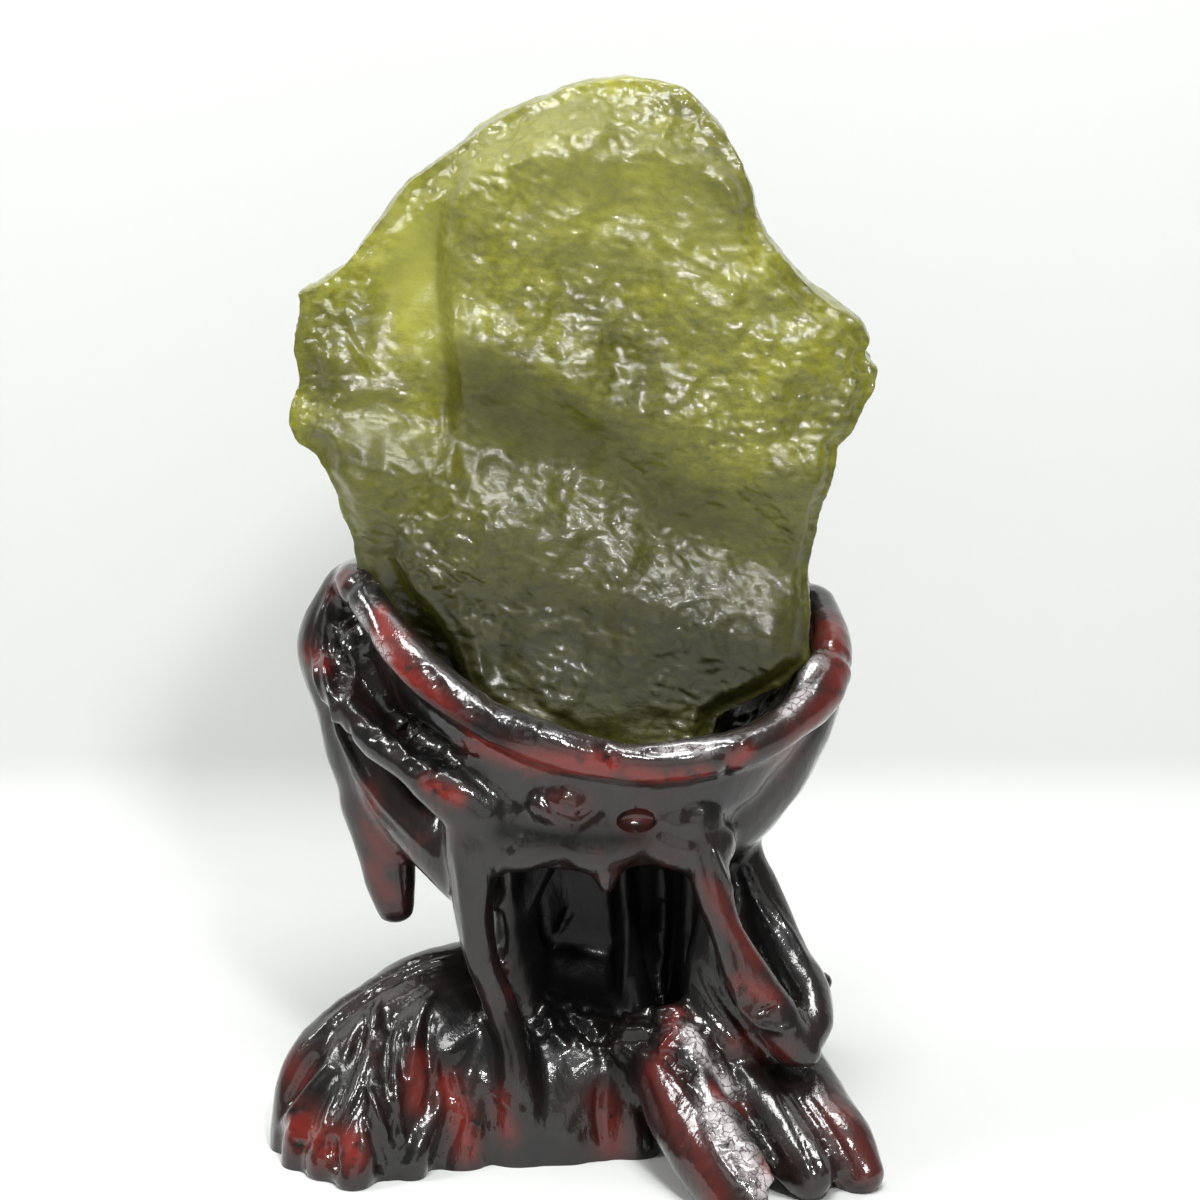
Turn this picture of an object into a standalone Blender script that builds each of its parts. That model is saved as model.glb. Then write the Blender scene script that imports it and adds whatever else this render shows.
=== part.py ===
"""A broken slab of natural desert glass, upright in the carved socket of a root-wood stand.

The object faces -Y, its width runs along X and +Z is up. Places and sizes in the
lists are millimetres, and MM turns them into metres as they are used.
"""

import math

import bmesh
import bpy
import numpy as np
from mathutils import Matrix, Vector, noise

MM = 0.001
BETWEEN_PIECES = 0.3

# Edge of the slab seen from the front (x, z, width of the bevel there), clockwise from the top
GLASS_EDGE = [
    (1, 249, 14), (10, 250, 15), (18, 250, 15), (25, 248, 14), (30, 243, 12), (34, 239, 10),
    (38, 232, 8), (41, 225, 5), (42, 220, 4), (44, 214, 4), (50, 208, 4), (55, 203, 4), (60, 199, 5),
    (66, 195, 6), (68, 191, 6), (67, 188, 5), (70, 185, 4), (69, 180, 4), (66, 176, 3), (63, 170, 3),
    (60, 167, 3), (59, 161, 3), (57, 155, 3), (56, 147, 3), (54, 140, 3), (54, 127, 3), (54, 118, 4),
    (48, 112, 5), (40, 108, 5), (33, 104, 5), (31, 97, 4), (27, 90, 4), (18, 87, 4), (6, 86, 4),
    (-6, 88, 4), (-16, 92, 4), (-25, 98, 4), (-33, 105, 4), (-40, 113, 4), (-46, 122, 4), (-50, 132, 4),
    (-52, 141, 4), (-53, 147, 4), (-55, 152, 4), (-56, 157, 4), (-58, 161, 5), (-61, 165, 6),
    (-65, 167, 7), (-67, 171, 8), (-67, 176, 9), (-65, 181, 10), (-66, 188, 11), (-65, 193, 11),
    (-64, 196, 10), (-65, 201, 8), (-60, 203, 7), (-54, 208, 7), (-50, 213, 7), (-44, 220, 7),
    (-39, 227, 7), (-32, 232, 8), (-22, 239, 9), (-13, 244, 11), (-4, 248, 12),
]
# The left lobe lies lower than the front mass: its border (x, z) and the height of the step there
GLASS_STEP = [
    (-16, 262, 4), (-25, 236, 4), (-28, 224, 7), (-31, 213, 9), (-31, 204, 9), (-30, 194, 9),
    (-29, 184, 7), (-29, 172, 4), (-32, 160, 2), (-39, 150, 2), (-43, 142, 6), (-38, 134, 9),
    (-33, 128, 10), (-29, 120, 10), (-26, 112, 10), (-22, 104, 10), (-14, 96, 9), (0, 80, 8),
]
# Long swells and troughs of the front face: (rise, half width, places x, z)
GLASS_RIDGES = [
    (3.0, 8, [(-28, 192), (-8, 185), (10, 177), (30, 168), (50, 160)]),
    (-3.6, 10, [(-26, 174), (-6, 167), (14, 156), (34, 145), (52, 136)]),
    (2.6, 10, [(-24, 148), (0, 138), (20, 130), (44, 124)]),
    (1.8, 6, [(22, 206), (36, 196), (52, 190)]),
]
# Round swells and dimples of the front face: (x, z, half width, half height, rise)
GLASS_SWELLS = [
    (-42, 200, 11, 17, -2.5), (-48, 162, 13, 9, 3.0), (10, 189, 5, 4, -2.4), (12, 214, 22, 17, -2.2),
    (-6, 232, 9, 6, 1.8), (20, 236, 8, 6, 1.6), (28, 226, 7, 7, -1.6), (-54, 184, 7, 8, 1.5),
    (38, 180, 8, 7, 1.6), (-36, 118, 8, 10, -1.5), (2, 112, 22, 12, 1.8), (-14, 208, 8, 10, 1.4),
    (-38, 182, 8, 7, 1.6),
]
# Seeded unevenness, one layer for each (pitch, rise): on the front face, on the back face, and all over
GLASS_FRONT_LUMPS = [(26, 1.4), (11, 0.9), (5.5, 0.55)]
GLASS_BACK_LUMPS = [(24, 1.6), (9, 0.8)]
GLASS_UNEVEN = [(15, 1.3), (6, 0.4)]
# The slab's middle plane lies this far behind its front face and before its back face
GLASS_FRONT = 17
GLASS_BACK = 13
STEP_SLOPE = 4
# Behind the lower lobe the back is thinner by this much, left of this x and over this width
LOBE_BACK = dict(thinner=6, x=-22, width=14)
# Share of the thickness left at the edge: a narrow bevel leaves a steep side, a wide one a thin edge
BEVEL_WIDTHS = (3, 14)
EDGE_SHARES = (0.8, 0.25)
BEVEL_UNEVEN = (12, 0.4)
BEVEL_START = 1
# The slab leans back about this point (y, z)
GLASS_LEAN = math.radians(8)
GLASS_FOOT = (-9, 97)
GLASS_VOXEL = 1.4 * MM
GLASS_TRIANGLES = 2500

# The lip of the socket: a closed roll that dips at the front (x, y, z, radius out, radius up)
LIP = [
    (57, 5, 126, 5, 5), (60, -8, 119, 5, 6), (57, -20, 112, 6, 6), (49, -30, 106, 5, 5),
    (39, -36, 102, 5, 5), (27, -39, 100, 5, 4), (14, -40, 99, 5, 4), (2, -40, 101, 5, 5),
    (-9, -39, 104, 5, 5), (-20, -36, 108, 5, 5), (-30, -32, 114, 5, 5), (-39, -26, 121, 5, 5),
    (-46, -18, 128, 5, 5), (-51, -9, 133, 5, 5), (-53, 2, 134, 4, 4), (-48, 13, 132, 4, 4),
    (-36, 20, 129, 4, 4), (-16, 24, 126, 4, 4), (6, 25, 124, 4, 4), (30, 23, 123, 4, 4),
    (49, 16, 125, 4, 4),
]
# The socket's outer wall: share of the way down to the waist, and how far the ring has closed in
WALL_RINGS = [(0.0, 0.0), (0.25, 0.1), (0.5, 0.32), (0.75, 0.64), (1.0, 1.0)]
WAIST = dict(x=4, y=-7, z=72, half_width=31, half_depth=29)
FLOOR = dict(x=5, y=-9, z=93, half_width=32, half_depth=18)
FLOOR_RINGS = (0.0, 0.35, 0.7, 1.0)
FLOOR_CURVE = 1.6
LIP_THICKNESS = 7

# Round limbs of the root (x, y, z, radius across the view, radius along the view)
LIMBS = {
    "shoulder": [
        (-55, 3, 132, 5, 5), (-59, 2, 125, 5, 6), (-62, 1, 117, 5, 7), (-61, 0, 110, 5, 7),
        (-57, -2, 103, 6, 7), (-54, -4, 94, 7, 7), (-51, -5, 86, 7, 7),
    ],
    "brace": [
        (-59, -9, 112, 4, 5), (-54, -15, 106, 4, 5), (-48, -20, 100, 4, 5), (-40, -26, 95, 4, 5),
        (-31, -31, 90, 6, 5), (-20, -33, 84, 7, 5),
    ],
    "left_flank": [
        (-54, -3, 98, 7, 8), (-46, -8, 88, 8, 9), (-38, -13, 79, 9, 10), (-29, -21, 72, 9, 9),
        (-24, -26, 64, 6, 7),
    ],
    "left_inner_wall": [
        (-50, 0, 110, 7, 12), (-42, -2, 98, 9, 14), (-32, -4, 86, 10, 14), (-24, -6, 76, 10, 14),
    ],
    "spur": [
        (-51, -5, 92, 7, 6), (-49, -6, 82, 8, 6), (-46.5, -7, 71, 7.5, 6), (-45, -8, 61, 6.5, 5),
        (-44, -8, 54, 5, 4),
    ],
    "right_flank": [
        (58, -2, 114, 6, 10), (54, -6, 102, 8, 12), (46, -10, 91, 9, 14), (36, -14, 80, 10, 14),
        (31, -14, 74, 8, 12),
    ],
    "apron": [
        (-24, -30, 78, 8, 6), (-14, -33, 80, 9, 5), (-3, -34, 82, 8, 5), (5, -35, 79, 8, 5),
        (15, -34, 82, 8, 5), (25, -33, 79, 9, 6), (31, -32, 77, 7, 6),
    ],
    "drip": [
        (6, -35, 80, 6, 4), (7, -35, 73, 4, 3), (7, -34, 68, 2, 2),
    ],
    "left_pillar": [
        (-23, -29, 84, 8, 8), (-24, -31, 72, 6, 7), (-24, -32, 61, 5, 6), (-22, -31, 49, 4, 5),
        (-18, -30, 37, 4, 5), (-15, -31, 28, 4, 6), (-14, -32, 18, 6, 7), (-13, -31, 6, 9, 8),
        (-13, -31, -5, 10, 9),
    ],
    "back_wall": [
        (4, 8, 96, 34, 15), (4, 8, 78, 27, 14), (4, 8, 60, 23, 12), (4, 8, 40, 24, 12),
        (3, 6, 20, 28, 18), (3, 4, -8, 31, 24),
    ],
    "cavern_ridge": [
        (11, -6, 78, 3, 5), (11, -7, 62, 2, 4), (12, -9, 46, 3, 4), (14, -12, 30, 5, 5),
    ],
    "cavern_fold": [
        (-4, -10, 78, 6, 5), (-9, -13, 66, 4, 5), (-14, -17, 54, 3, 4), (-17, -20, 44, 3, 3),
    ],
    "cavern_right": [
        (28, -3, 80, 6, 10), (27.5, -4, 64, 5, 10), (27.5, -6, 48, 5, 9), (28, -8, 33, 6, 9),
    ],
    "cavern_left": [
        (-18, -10, 80, 7, 14), (-17, -10, 62, 6, 14), (-15, -10, 46, 6, 12), (-13, -10, 30, 8, 12),
    ],
    "mound": [
        (2, 0, 30, 20, 12), (0, -4, 22, 25, 20), (-2, -8, 12, 28, 27), (-3, -9, 2, 31, 28),
        (-3, -9, -8, 31, 28),
    ],
    "web": [
        (32, -24, 66, 4, 5), (32, -27, 54, 5, 5), (33, -29, 43, 8, 5), (35, -30, 33, 11, 7),
        (37, -31, 22, 13, 9), (37, -31, 10, 13, 9),
    ],
    "front_strut": [
        (27, -33, 84, 7, 6), (30, -35, 74, 5, 5), (33, -38, 62, 4, 4), (39, -41, 49, 5, 4),
        (45, -43, 39, 6, 5), (50, -43, 32, 5, 5), (53, -43, 30, 4, 4),
    ],
    "back_strut": [
        (36, -12, 82, 7, 7), (40, -14, 69, 5, 6), (44, -18, 57, 6, 6), (49, -24, 47, 6, 6),
        (54, -30, 40, 6, 6), (55, -36, 35, 5, 5), (53, -41, 31, 4, 5),
    ],
    "dark_wall": [
        (34, -9, 78, 6, 6), (37, -13, 62, 6, 6), (40, -18, 46, 8, 7), (42, -23, 30, 10, 8),
    ],
    "fan_back": [
        (-22, -7, 40, 6, 7), (-35, -10, 38, 6, 7), (-47, -14, 33, 6, 7), (-57, -19, 26, 6, 7),
        (-65, -23, 18, 6, 6), (-68, -25, 8, 5, 6), (-69, -26, -4, 5, 6),
    ],
    "fan_second": [
        (-22, -11, 37, 5, 6), (-36, -17, 35, 5, 6), (-49, -24, 27, 6, 6), (-58, -30, 18, 5, 6),
        (-64, -34, 8, 5, 6), (-65, -36, -3, 5, 6),
    ],
    "fan_third": [
        (-22, -15, 34, 5, 6), (-36, -23, 32, 5, 6), (-47, -31, 23, 5, 6), (-55, -39, 13, 5, 6),
        (-59, -43, 2, 5, 6),
    ],
    "fan_fourth": [
        (-22, -19, 32, 5, 5), (-35, -28, 28, 5, 5), (-43, -36, 20, 5, 6), (-49, -43, 11, 5, 6),
        (-52, -49, 2, 5, 5),
    ],
    "fan_fifth": [
        (-22, -22, 30, 4, 5), (-33, -31, 24, 4, 5), (-39, -37, 15, 4, 5), (-44, -42, 7, 5, 5),
        (-45, -44, 1, 4, 4),
    ],
    "fan_front": [
        (-22, -25, 27, 4, 5), (-29, -31, 20, 4, 4), (-35, -38, 11, 4, 5), (-38, -43, 4, 4, 5),
        (-39, -44, 0, 4, 4),
    ],
    "fan_core": [
        (-20, -8, 26, 12, 10), (-36, -14, 20, 13, 11), (-49, -22, 8, 13, 12), (-52, -26, -4, 14, 12),
    ],
    "right_root": [
        (38, -18, 22, 12, 10), (48, -28, 18, 12, 10), (56, -38, 12, 10, 9), (62, -46, 7, 9, 7),
        (66, -51, 3, 6, 5),
    ],
    "right_root_inner": [
        (34, -28, 24, 8, 8), (41, -40, 17, 8, 7), (48, -50, 10, 7, 6), (54, -57, 5, 6, 5),
    ],
    "front_root": [
        (18, -28, 27, 10, 8), (22, -37, 23, 10, 8), (26, -46, 17, 10, 8), (31, -56, 11, 10, 8),
        (36, -65, 6, 9, 6), (39, -71, 3, 6, 4),
    ],
    "front_crest": [
        (22, -34, 35, 4, 4), (25, -41, 30, 4, 4), (29, -49, 23, 4, 4), (34, -58, 16, 4, 4),
        (39, -67, 9, 3, 3),
    ],
    "skirt_left": [
        (-20, -26, 24, 6, 6), (-25, -32, 12, 6, 6), (-28, -36, -2, 7, 6),
    ],
    "skirt_middle": [
        (-2, -26, 20, 8, 6), (-4, -31, 10, 9, 6), (-5, -33, -2, 10, 6),
    ],
    "skirt_right": [
        (12, -24, 22, 6, 6), (12, -27, 10, 6, 6), (13, -29, -2, 7, 6),
    ],
    "back_rib_left": [
        (-36, 18, 120, 6, 4), (-26, 19, 98, 6, 5), (-17, 18, 74, 6, 5), (-13, 17, 50, 6, 5),
        (-14, 18, 30, 8, 6),
    ],
    "back_rib_middle": [
        (6, 24, 118, 6, 4), (4, 22, 96, 7, 5), (3, 20, 74, 6, 4), (4, 18, 50, 6, 5), (5, 20, 26, 8, 6),
        (6, 25, -2, 10, 8),
    ],
    "back_rib_right": [
        (44, 16, 116, 6, 4), (34, 18, 96, 6, 5), (24, 18, 74, 6, 5), (20, 17, 50, 6, 5),
        (20, 18, 30, 8, 6),
    ],
    "back_left_root": [
        (-8, 12, 30, 12, 12), (-20, 25, 20, 12, 11), (-31, 37, 9, 10, 9), (-37, 45, 3, 6, 5),
    ],
    "back_left_toe": [
        (-16, 24, 18, 8, 8), (-21, 38, 8, 8, 7), (-22, 48, 3, 6, 5),
    ],
    "back_right_root": [
        (16, 12, 27, 11, 12), (32, 26, 18, 10, 10), (46, 35, 9, 9, 8), (54, 40, 3, 6, 5),
    ],
    "back_right_toe": [
        (26, 24, 17, 8, 8), (33, 38, 8, 7, 7), (37, 47, 3, 5, 5),
    ],
    "stub": [
        (28, 6, 38, 7, 6), (42, 10, 33, 5, 5), (54, 13, 29, 4, 4), (61, 15, 27, 3, 3),
    ],
    "stub_fork": [
        (50, 11, 30, 4, 4), (56, 12, 24, 3, 3), (58, 13, 20, 2, 2),
    ],
}
# Knobs added to the wood and hollows cut into it (x, y, z, half width, half depth, half height)
KNOBS = [(-5, -38, 88, 7, 3, 4), (-53, -4, 118, 4, 7, 6)]
HOLLOWS = [(14, -40, 85, 5, 4, 3)]

# Depth of the block that cuts the stand flat where it stands
BELOW = 80
WOOD_VOXEL = 1.5 * MM
WOOD_FILLET = 1.5 * MM
WOOD_TRIANGLES = 4500
WOOD_LUMPS = [(16, 0.9), (7, 0.5)]
LIMB_SIDES = 16
STEPS_BETWEEN_STATIONS = 5
DOME_ANGLES = (35, 65, 85)
# A direction counts as lying along an axis when its share of that axis is over this
ALONG_AXIS = 0.85
SMOOTHING = dict(factor=0.5, iterations=3)
SHARP_ANGLE = math.radians(50)

# Saw cuts at the forks: (centre, half width of the cut, half height of the cut, direction across the cut)
SAW_CUTS = [
    ((0, -8, 76), 90, 80, (0, 0, 1)),
    ((-41, -8, 58), 18, 18.1, (1, 0, 0)),
    ((-29.5, -24, 26), 50, 32, (1, 0, 0)),
    ((50, -31, 27), 26, 29, (0, 0, 1)),
    ((24, -31, 51.5), 29, 24.6, (1, 0, 0)),
    ((50, -2, 51.5), 26, 24.6, (0, 1, 0)),
    ((27, -18, 11), 12, 16.1, (1, 0, 0)),
    ((37, -52.5, 11), 24.7, 16.1, (0.914, 0.406, 0)),
    ((17, -37, 18), 13, 23, (0, 1, 0)),
    ((-19, 26, 18), 22, 24, (-0.62, 0.78, 0)),
    ((30, 25, 16), 15, 22, (0.5, 0.87, 0)),
]
# A point near each piece of the stand, which names it
WOOD_PIECES = {
    "stand_cup": (14, -45, 99),
    "stand_trunk": (-10, -38, 10),
    "hanging_spur": (-45, -14, 60),
    "fan_root": (-60, -38, 20),
    "arch_root": (54, -44, 32),
    "right_root": (66, -45, 8),
    "front_root": (36, -66, 8),
    "back_left_root": (-36, 44, 4),
    "back_right_root": (53, 40, 4),
}
SLAB_COLOUR = (0.24, 0.25, 0.045, 1)
SLAB_ROUGHNESS = 0.2
WOOD_COLOUR = (0.035, 0.01, 0.008, 1)
WOOD_ROUGHNESS = 0.3


def clear_scene():
    for item in list(bpy.data.objects):
        bpy.data.objects.remove(item)


def keep(shape, name):
    """Turns a bmesh into a scene object."""
    mesh = bpy.data.meshes.new(name)
    shape.to_mesh(mesh)
    shape.free()
    made = bpy.data.objects.new(name, mesh)
    bpy.context.scene.collection.objects.link(made)
    return made


def add(obj, kind, **settings):
    modifier = obj.modifiers.new(kind.lower(), kind)
    for key, value in settings.items():
        setattr(modifier, key, value)


def settle(obj):
    """Replaces an object's mesh by what its modifiers make of it."""
    graph = bpy.context.evaluated_depsgraph_get()
    mesh = bpy.data.meshes.new_from_object(obj.evaluated_get(graph))
    obj.modifiers.clear()
    obj.data = mesh


def carve(obj, cutter):
    """Cuts with a closed helper, and removes the helper."""
    add(obj, "BOOLEAN", object=cutter, operation="DIFFERENCE", solver="EXACT")
    settle(obj)
    bpy.data.objects.remove(cutter)


def thin_out(obj, triangles):
    """Reduces an object to about so many triangles."""
    add(obj, "TRIANGULATE")
    settle(obj)
    add(obj, "DECIMATE", ratio=min(1, triangles / len(obj.data.polygons)))
    settle(obj)


def to_path(points, path):
    """Distance from each point to a path, and how far along the path the nearest place lies."""
    path = np.array(path, float)
    best = np.full(len(points), np.inf)
    place = np.zeros(len(points))
    for index in range(len(path) - 1):
        start = path[index, :2]
        run = path[index + 1, :2] - start
        share = np.clip(((points - start) @ run) / (run @ run), 0, 1)
        gap = points - start - share[:, None] * run
        distance = np.hypot(gap[:, 0], gap[:, 1])
        closer = distance < best
        best = np.where(closer, distance, best)
        place = np.where(closer, index + share, place)
    return best, place


def left_of_step(points):
    """Marks the points on the left of the step, where the lower lobe is."""
    by_height = sorted(((z, x) for x, z, _ in GLASS_STEP))
    border = np.interp(points[:, 1], [z for z, _ in by_height], [x for _, x in by_height])
    return points[:, 0] < border


def smoothstep(value):
    value = np.clip(value, 0, 1)
    return value * value * (3 - 2 * value)


def lumps(points, pitch, seed):
    """Smooth seeded noise, about -1 to 1. Each seed reads another part of the noise."""
    offset = Vector((17.3, 5.1, 9.7)) * seed
    return np.array([noise.noise(Vector(point) / pitch + offset) for point in points])


def layered(points, layers, first_seed):
    """The sum of several layers of seeded noise, one for each (pitch, rise)."""
    return sum(rise * lumps(points, pitch, first_seed + i) for i, (pitch, rise) in enumerate(layers))


def places_of(obj):
    """The points of an object in millimetres."""
    return np.array([vert.co for vert in obj.data.vertices]) / MM


def move_points(obj, places):
    obj.data.vertices.foreach_set("co", (places * MM).reshape(-1))
    obj.data.update()


def swell(obj, layers):
    """Moves each point along its normal by seeded noise."""
    obj.data.update()
    normals = np.array([vert.normal for vert in obj.data.vertices])
    places = places_of(obj)
    move_points(obj, places + normals * layered(places, layers, 11)[:, None])


def glass_relief(flat):
    """How far the front face stands out from the middle of the slab."""
    distance, place = to_path(flat, GLASS_STEP)
    drop = np.interp(place, range(len(GLASS_STEP)), [station[2] for station in GLASS_STEP])
    into_lobe = np.where(left_of_step(flat), distance, -distance)
    height = GLASS_FRONT - drop * smoothstep(0.5 + into_lobe / STEP_SLOPE)
    for rise, half_width, path in GLASS_RIDGES:
        distance, place = to_path(flat, path)
        height += rise * np.exp(-((distance / half_width) ** 2))
    for x, z, half_width, half_height, rise in GLASS_SWELLS:
        away = ((flat[:, 0] - x) / half_width) ** 2 + ((flat[:, 1] - z) / half_height) ** 2
        height += rise * np.exp(-away)
    return height + layered(np.insert(flat, 1, 0, axis=1), GLASS_FRONT_LUMPS, 0)


def glass_back(flat):
    """How far the back face stands out from the middle of the slab."""
    thinner = LOBE_BACK["thinner"] * smoothstep((LOBE_BACK["x"] - flat[:, 0]) / LOBE_BACK["width"])
    return GLASS_BACK - thinner + layered(np.insert(flat, 1, 0, axis=1), GLASS_BACK_LUMPS, 7)


def glass_rim(places):
    """Share of the thickness left at each point: all of it inside the bevel, less towards the edge."""
    loop = GLASS_EDGE + GLASS_EDGE[:1]
    inside, place = to_path(places[:, [0, 2]], loop)
    bevel = np.interp(place, range(len(loop)), [station[2] for station in loop])
    pitch, unevenness = BEVEL_UNEVEN
    bevel *= 1 + unevenness * lumps(places, pitch, 5)
    edge = np.interp(bevel, BEVEL_WIDTHS, EDGE_SHARES)
    up_the_bevel = np.clip((inside - BEVEL_START) / bevel, 0, 1)
    return edge + (1 - edge) * 2 * smoothstep(up_the_bevel / 2)


def build_glass():
    """The slab: its edge drawn flat and given thickness, then shaped by the relief of its two faces."""
    shape = bmesh.new()
    edge = [shape.verts.new(Vector((x, -GLASS_FRONT, z)) * MM) for x, z, _ in GLASS_EDGE]
    front = shape.faces.new(edge)
    pushed = bmesh.ops.extrude_face_region(shape, geom=[front])["geom"]
    behind = [item for item in pushed if isinstance(item, bmesh.types.BMVert)]
    bmesh.ops.translate(shape, verts=behind, vec=Vector((0, GLASS_FRONT + GLASS_BACK, 0)) * MM)
    bmesh.ops.recalc_face_normals(shape, faces=shape.faces)
    slab = keep(shape, "desert_glass")
    add(slab, "REMESH", mode="VOXEL", voxel_size=GLASS_VOXEL)
    add(slab, "SMOOTH", **SMOOTHING)
    settle(slab)

    places = places_of(slab)
    flat = places[:, [0, 2]]
    middle = GLASS_FOOT[0] + (places[:, 2] - GLASS_FOOT[1]) * math.tan(GLASS_LEAN)
    to_front = places[:, 1] / GLASS_FRONT * glass_relief(flat)
    to_back = places[:, 1] / GLASS_BACK * glass_back(flat)
    places[:, 1] = middle + np.where(places[:, 1] < 0, to_front, to_back) * glass_rim(places)
    move_points(slab, places)
    swell(slab, GLASS_UNEVEN)
    thin_out(slab, GLASS_TRIANGLES)
    return slab


def through(stations, closed=False):
    """A smooth run of stations: Catmull-Rom between the given ones, in every column."""
    rows = [np.array(station, float) for station in stations]
    if closed:
        rows = rows[-1:] + rows + rows[:2]
    else:
        rows = rows[:1] + rows + rows[-1:]
    run = []
    for a, b, c, d in zip(rows, rows[1:], rows[2:], rows[3:]):
        for step in range(STEPS_BETWEEN_STATIONS):
            t = step / STEPS_BETWEEN_STATIONS
            straight = 2 * b + (c - a) * t
            bent = (2 * a - 5 * b + 4 * c - d) * t ** 2 + (3 * b - a - 3 * c + d) * t ** 3
            run.append((straight + bent) / 2)
    if not closed:
        run.append(rows[-1])
    return run


def ring_matrix(centre, along, wide, deep):
    """Places a unit circle across a limb, with its Y axis as near the view's depth as it can lie."""
    reference = Vector((0, 1, 0)) if abs(along.y) < ALONG_AXIS else Vector((0, 0, 1))
    back = (reference - along * reference.dot(along)).normalized()
    across = back.cross(along)
    turned = Matrix((across * wide, back * deep, along)).transposed().to_4x4()
    return Matrix.Translation(centre) @ turned


def join_rings(shape, first, second):
    count = len(first)
    for i in range(count):
        j = (i + 1) % count
        shape.faces.new((first[i], first[j], second[j], second[i]))


def limb(shape, stations):
    """One closed tapering limb with domed ends."""
    run = through(stations)
    places = [Vector(row[:3]) * MM for row in run]
    rings = []
    for index, row in enumerate(run):
        along = places[min(index + 1, len(run) - 1)] - places[max(index - 1, 0)]
        rings.append((places[index], along.normalized(), row[3] * MM, row[4] * MM))
    for sign in (-1, 1):
        place, along, wide, deep = rings[0] if sign < 0 else rings[-1]
        for angle in DOME_ANGLES:
            out = math.sin(math.radians(angle)) * min(wide, deep)
            shrink = math.cos(math.radians(angle))
            dome = (place + along * sign * out, along, wide * shrink, deep * shrink)
            rings.insert(0 if sign < 0 else len(rings), dome)
    before = None
    for centre, along, wide, deep in rings:
        matrix = ring_matrix(centre, along, wide, deep)
        ring = bmesh.ops.create_circle(shape, segments=LIMB_SIDES, radius=1, matrix=matrix)["verts"]
        if before:
            join_rings(shape, before, ring)
        else:
            shape.faces.new(ring)
        before = ring
    shape.faces.new(before)


def on_ellipse(ring, angle):
    x = ring["x"] + ring["half_width"] * math.cos(angle)
    y = ring["y"] + ring["half_depth"] * math.sin(angle)
    return Vector((x, y, ring["z"]))


def socket(shape):
    """The bowl between the lip and the waist: an outer skin going up and an inner skin going down."""
    lip = [Vector(row[:3]) for row in through(LIP, closed=True)]
    centre = Vector((WAIST["x"], WAIST["y"], 0))
    angles = [math.atan2(point.y - centre.y, point.x - centre.x) for point in lip]
    rings = []
    for share, closing in reversed(WALL_RINGS):
        feet = [on_ellipse(WAIST, angle) for angle in angles]
        ring = [point.lerp(foot, closing) for point, foot in zip(lip, feet)]
        for place, point, foot in zip(ring, lip, feet):
            place.z = point.z + (foot.z - point.z) * share
        rings.append(ring)
    for share in FLOOR_RINGS:
        ring = []
        for point, angle in zip(lip, angles):
            foot = on_ellipse(FLOOR, angle)
            top = point + (Vector((centre.x, centre.y, point.z)) - point).normalized() * LIP_THICKNESS
            place = top.lerp(foot, share ** FLOOR_CURVE)
            place.z = top.z + (foot.z - top.z) * share
            ring.append(place)
        rings.append(ring)
    before = [shape.verts.new(point * MM) for point in rings[0]]
    shape.faces.new(before)
    for ring in rings[1:]:
        following = [shape.verts.new(point * MM) for point in ring]
        join_rings(shape, before, following)
        before = following
    shape.faces.new(before)


def ball(shape, x, y, z, half_width, half_depth, half_height):
    place = Matrix.Translation(Vector((x, y, z)) * MM)
    size = Matrix.Diagonal((half_width * MM, half_depth * MM, half_height * MM, 1))
    bmesh.ops.create_icosphere(shape, subdivisions=3, radius=1, matrix=place @ size)


def box(name, centre, size, across=(0, 0, 1)):
    """A block. Its third size runs along the direction given, and its second lies upright if it can."""
    across = Vector(across).normalized()
    upright = Vector((0, 1, 0)) if abs(across.z) > ALONG_AXIS else Vector((0, 0, 1))
    sideways = upright.cross(across)
    axes = [axis * side * MM for axis, side in zip((sideways, upright, across), size)]
    turned = Matrix(axes).transposed().to_4x4()
    shape = bmesh.new()
    bmesh.ops.create_cube(shape, size=1, matrix=Matrix.Translation(Vector(centre) * MM) @ turned)
    return keep(shape, name)


def build_wood():
    """Limbs, bowl and knobs fused into one skin with soft inner corners, then cut flat below."""
    shape = bmesh.new()
    socket(shape)
    limb(shape, LIP + LIP[:1])
    for stations in LIMBS.values():
        limb(shape, stations)
    for knob in KNOBS:
        ball(shape, *knob)
    bmesh.ops.recalc_face_normals(shape, faces=shape.faces)
    wood = keep(shape, "stand")
    add(wood, "REMESH", mode="VOXEL", voxel_size=WOOD_VOXEL)
    add(wood, "DISPLACE", strength=WOOD_FILLET, mid_level=0)
    add(wood, "REMESH", mode="VOXEL", voxel_size=WOOD_VOXEL)
    add(wood, "DISPLACE", strength=-WOOD_FILLET, mid_level=0)
    add(wood, "SMOOTH", **SMOOTHING)
    settle(wood)
    swell(wood, WOOD_LUMPS)
    thin_out(wood, WOOD_TRIANGLES)
    hollows = bmesh.new()
    for hollow in HOLLOWS:
        ball(hollows, *hollow)
    carve(wood, keep(hollows, "hollows"))
    carve(wood, box("below_floor", (0, 0, -BELOW / 2), (3 * BELOW, 3 * BELOW, BELOW)))
    return wood


def cut_socket(wood, glass):
    """Cuts the place of the slab's foot, a little larger than the slab."""
    foot = bpy.data.objects.new("grown_slab", glass.data.copy())
    bpy.context.scene.collection.objects.link(foot)
    add(foot, "DISPLACE", strength=BETWEEN_PIECES * MM, mid_level=0)
    settle(foot)
    carve(wood, foot)


def loose_parts(shape):
    """The faces of a bmesh, sorted into sets that touch each other."""
    parts = []
    left = set(shape.faces)
    while left:
        part = {left.pop()}
        border = set(part)
        while border:
            touching = {face for known in border for edge in known.edges for face in edge.link_faces}
            border = touching & left
            left -= border
            part |= border
        parts.append(part)
    return parts


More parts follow.
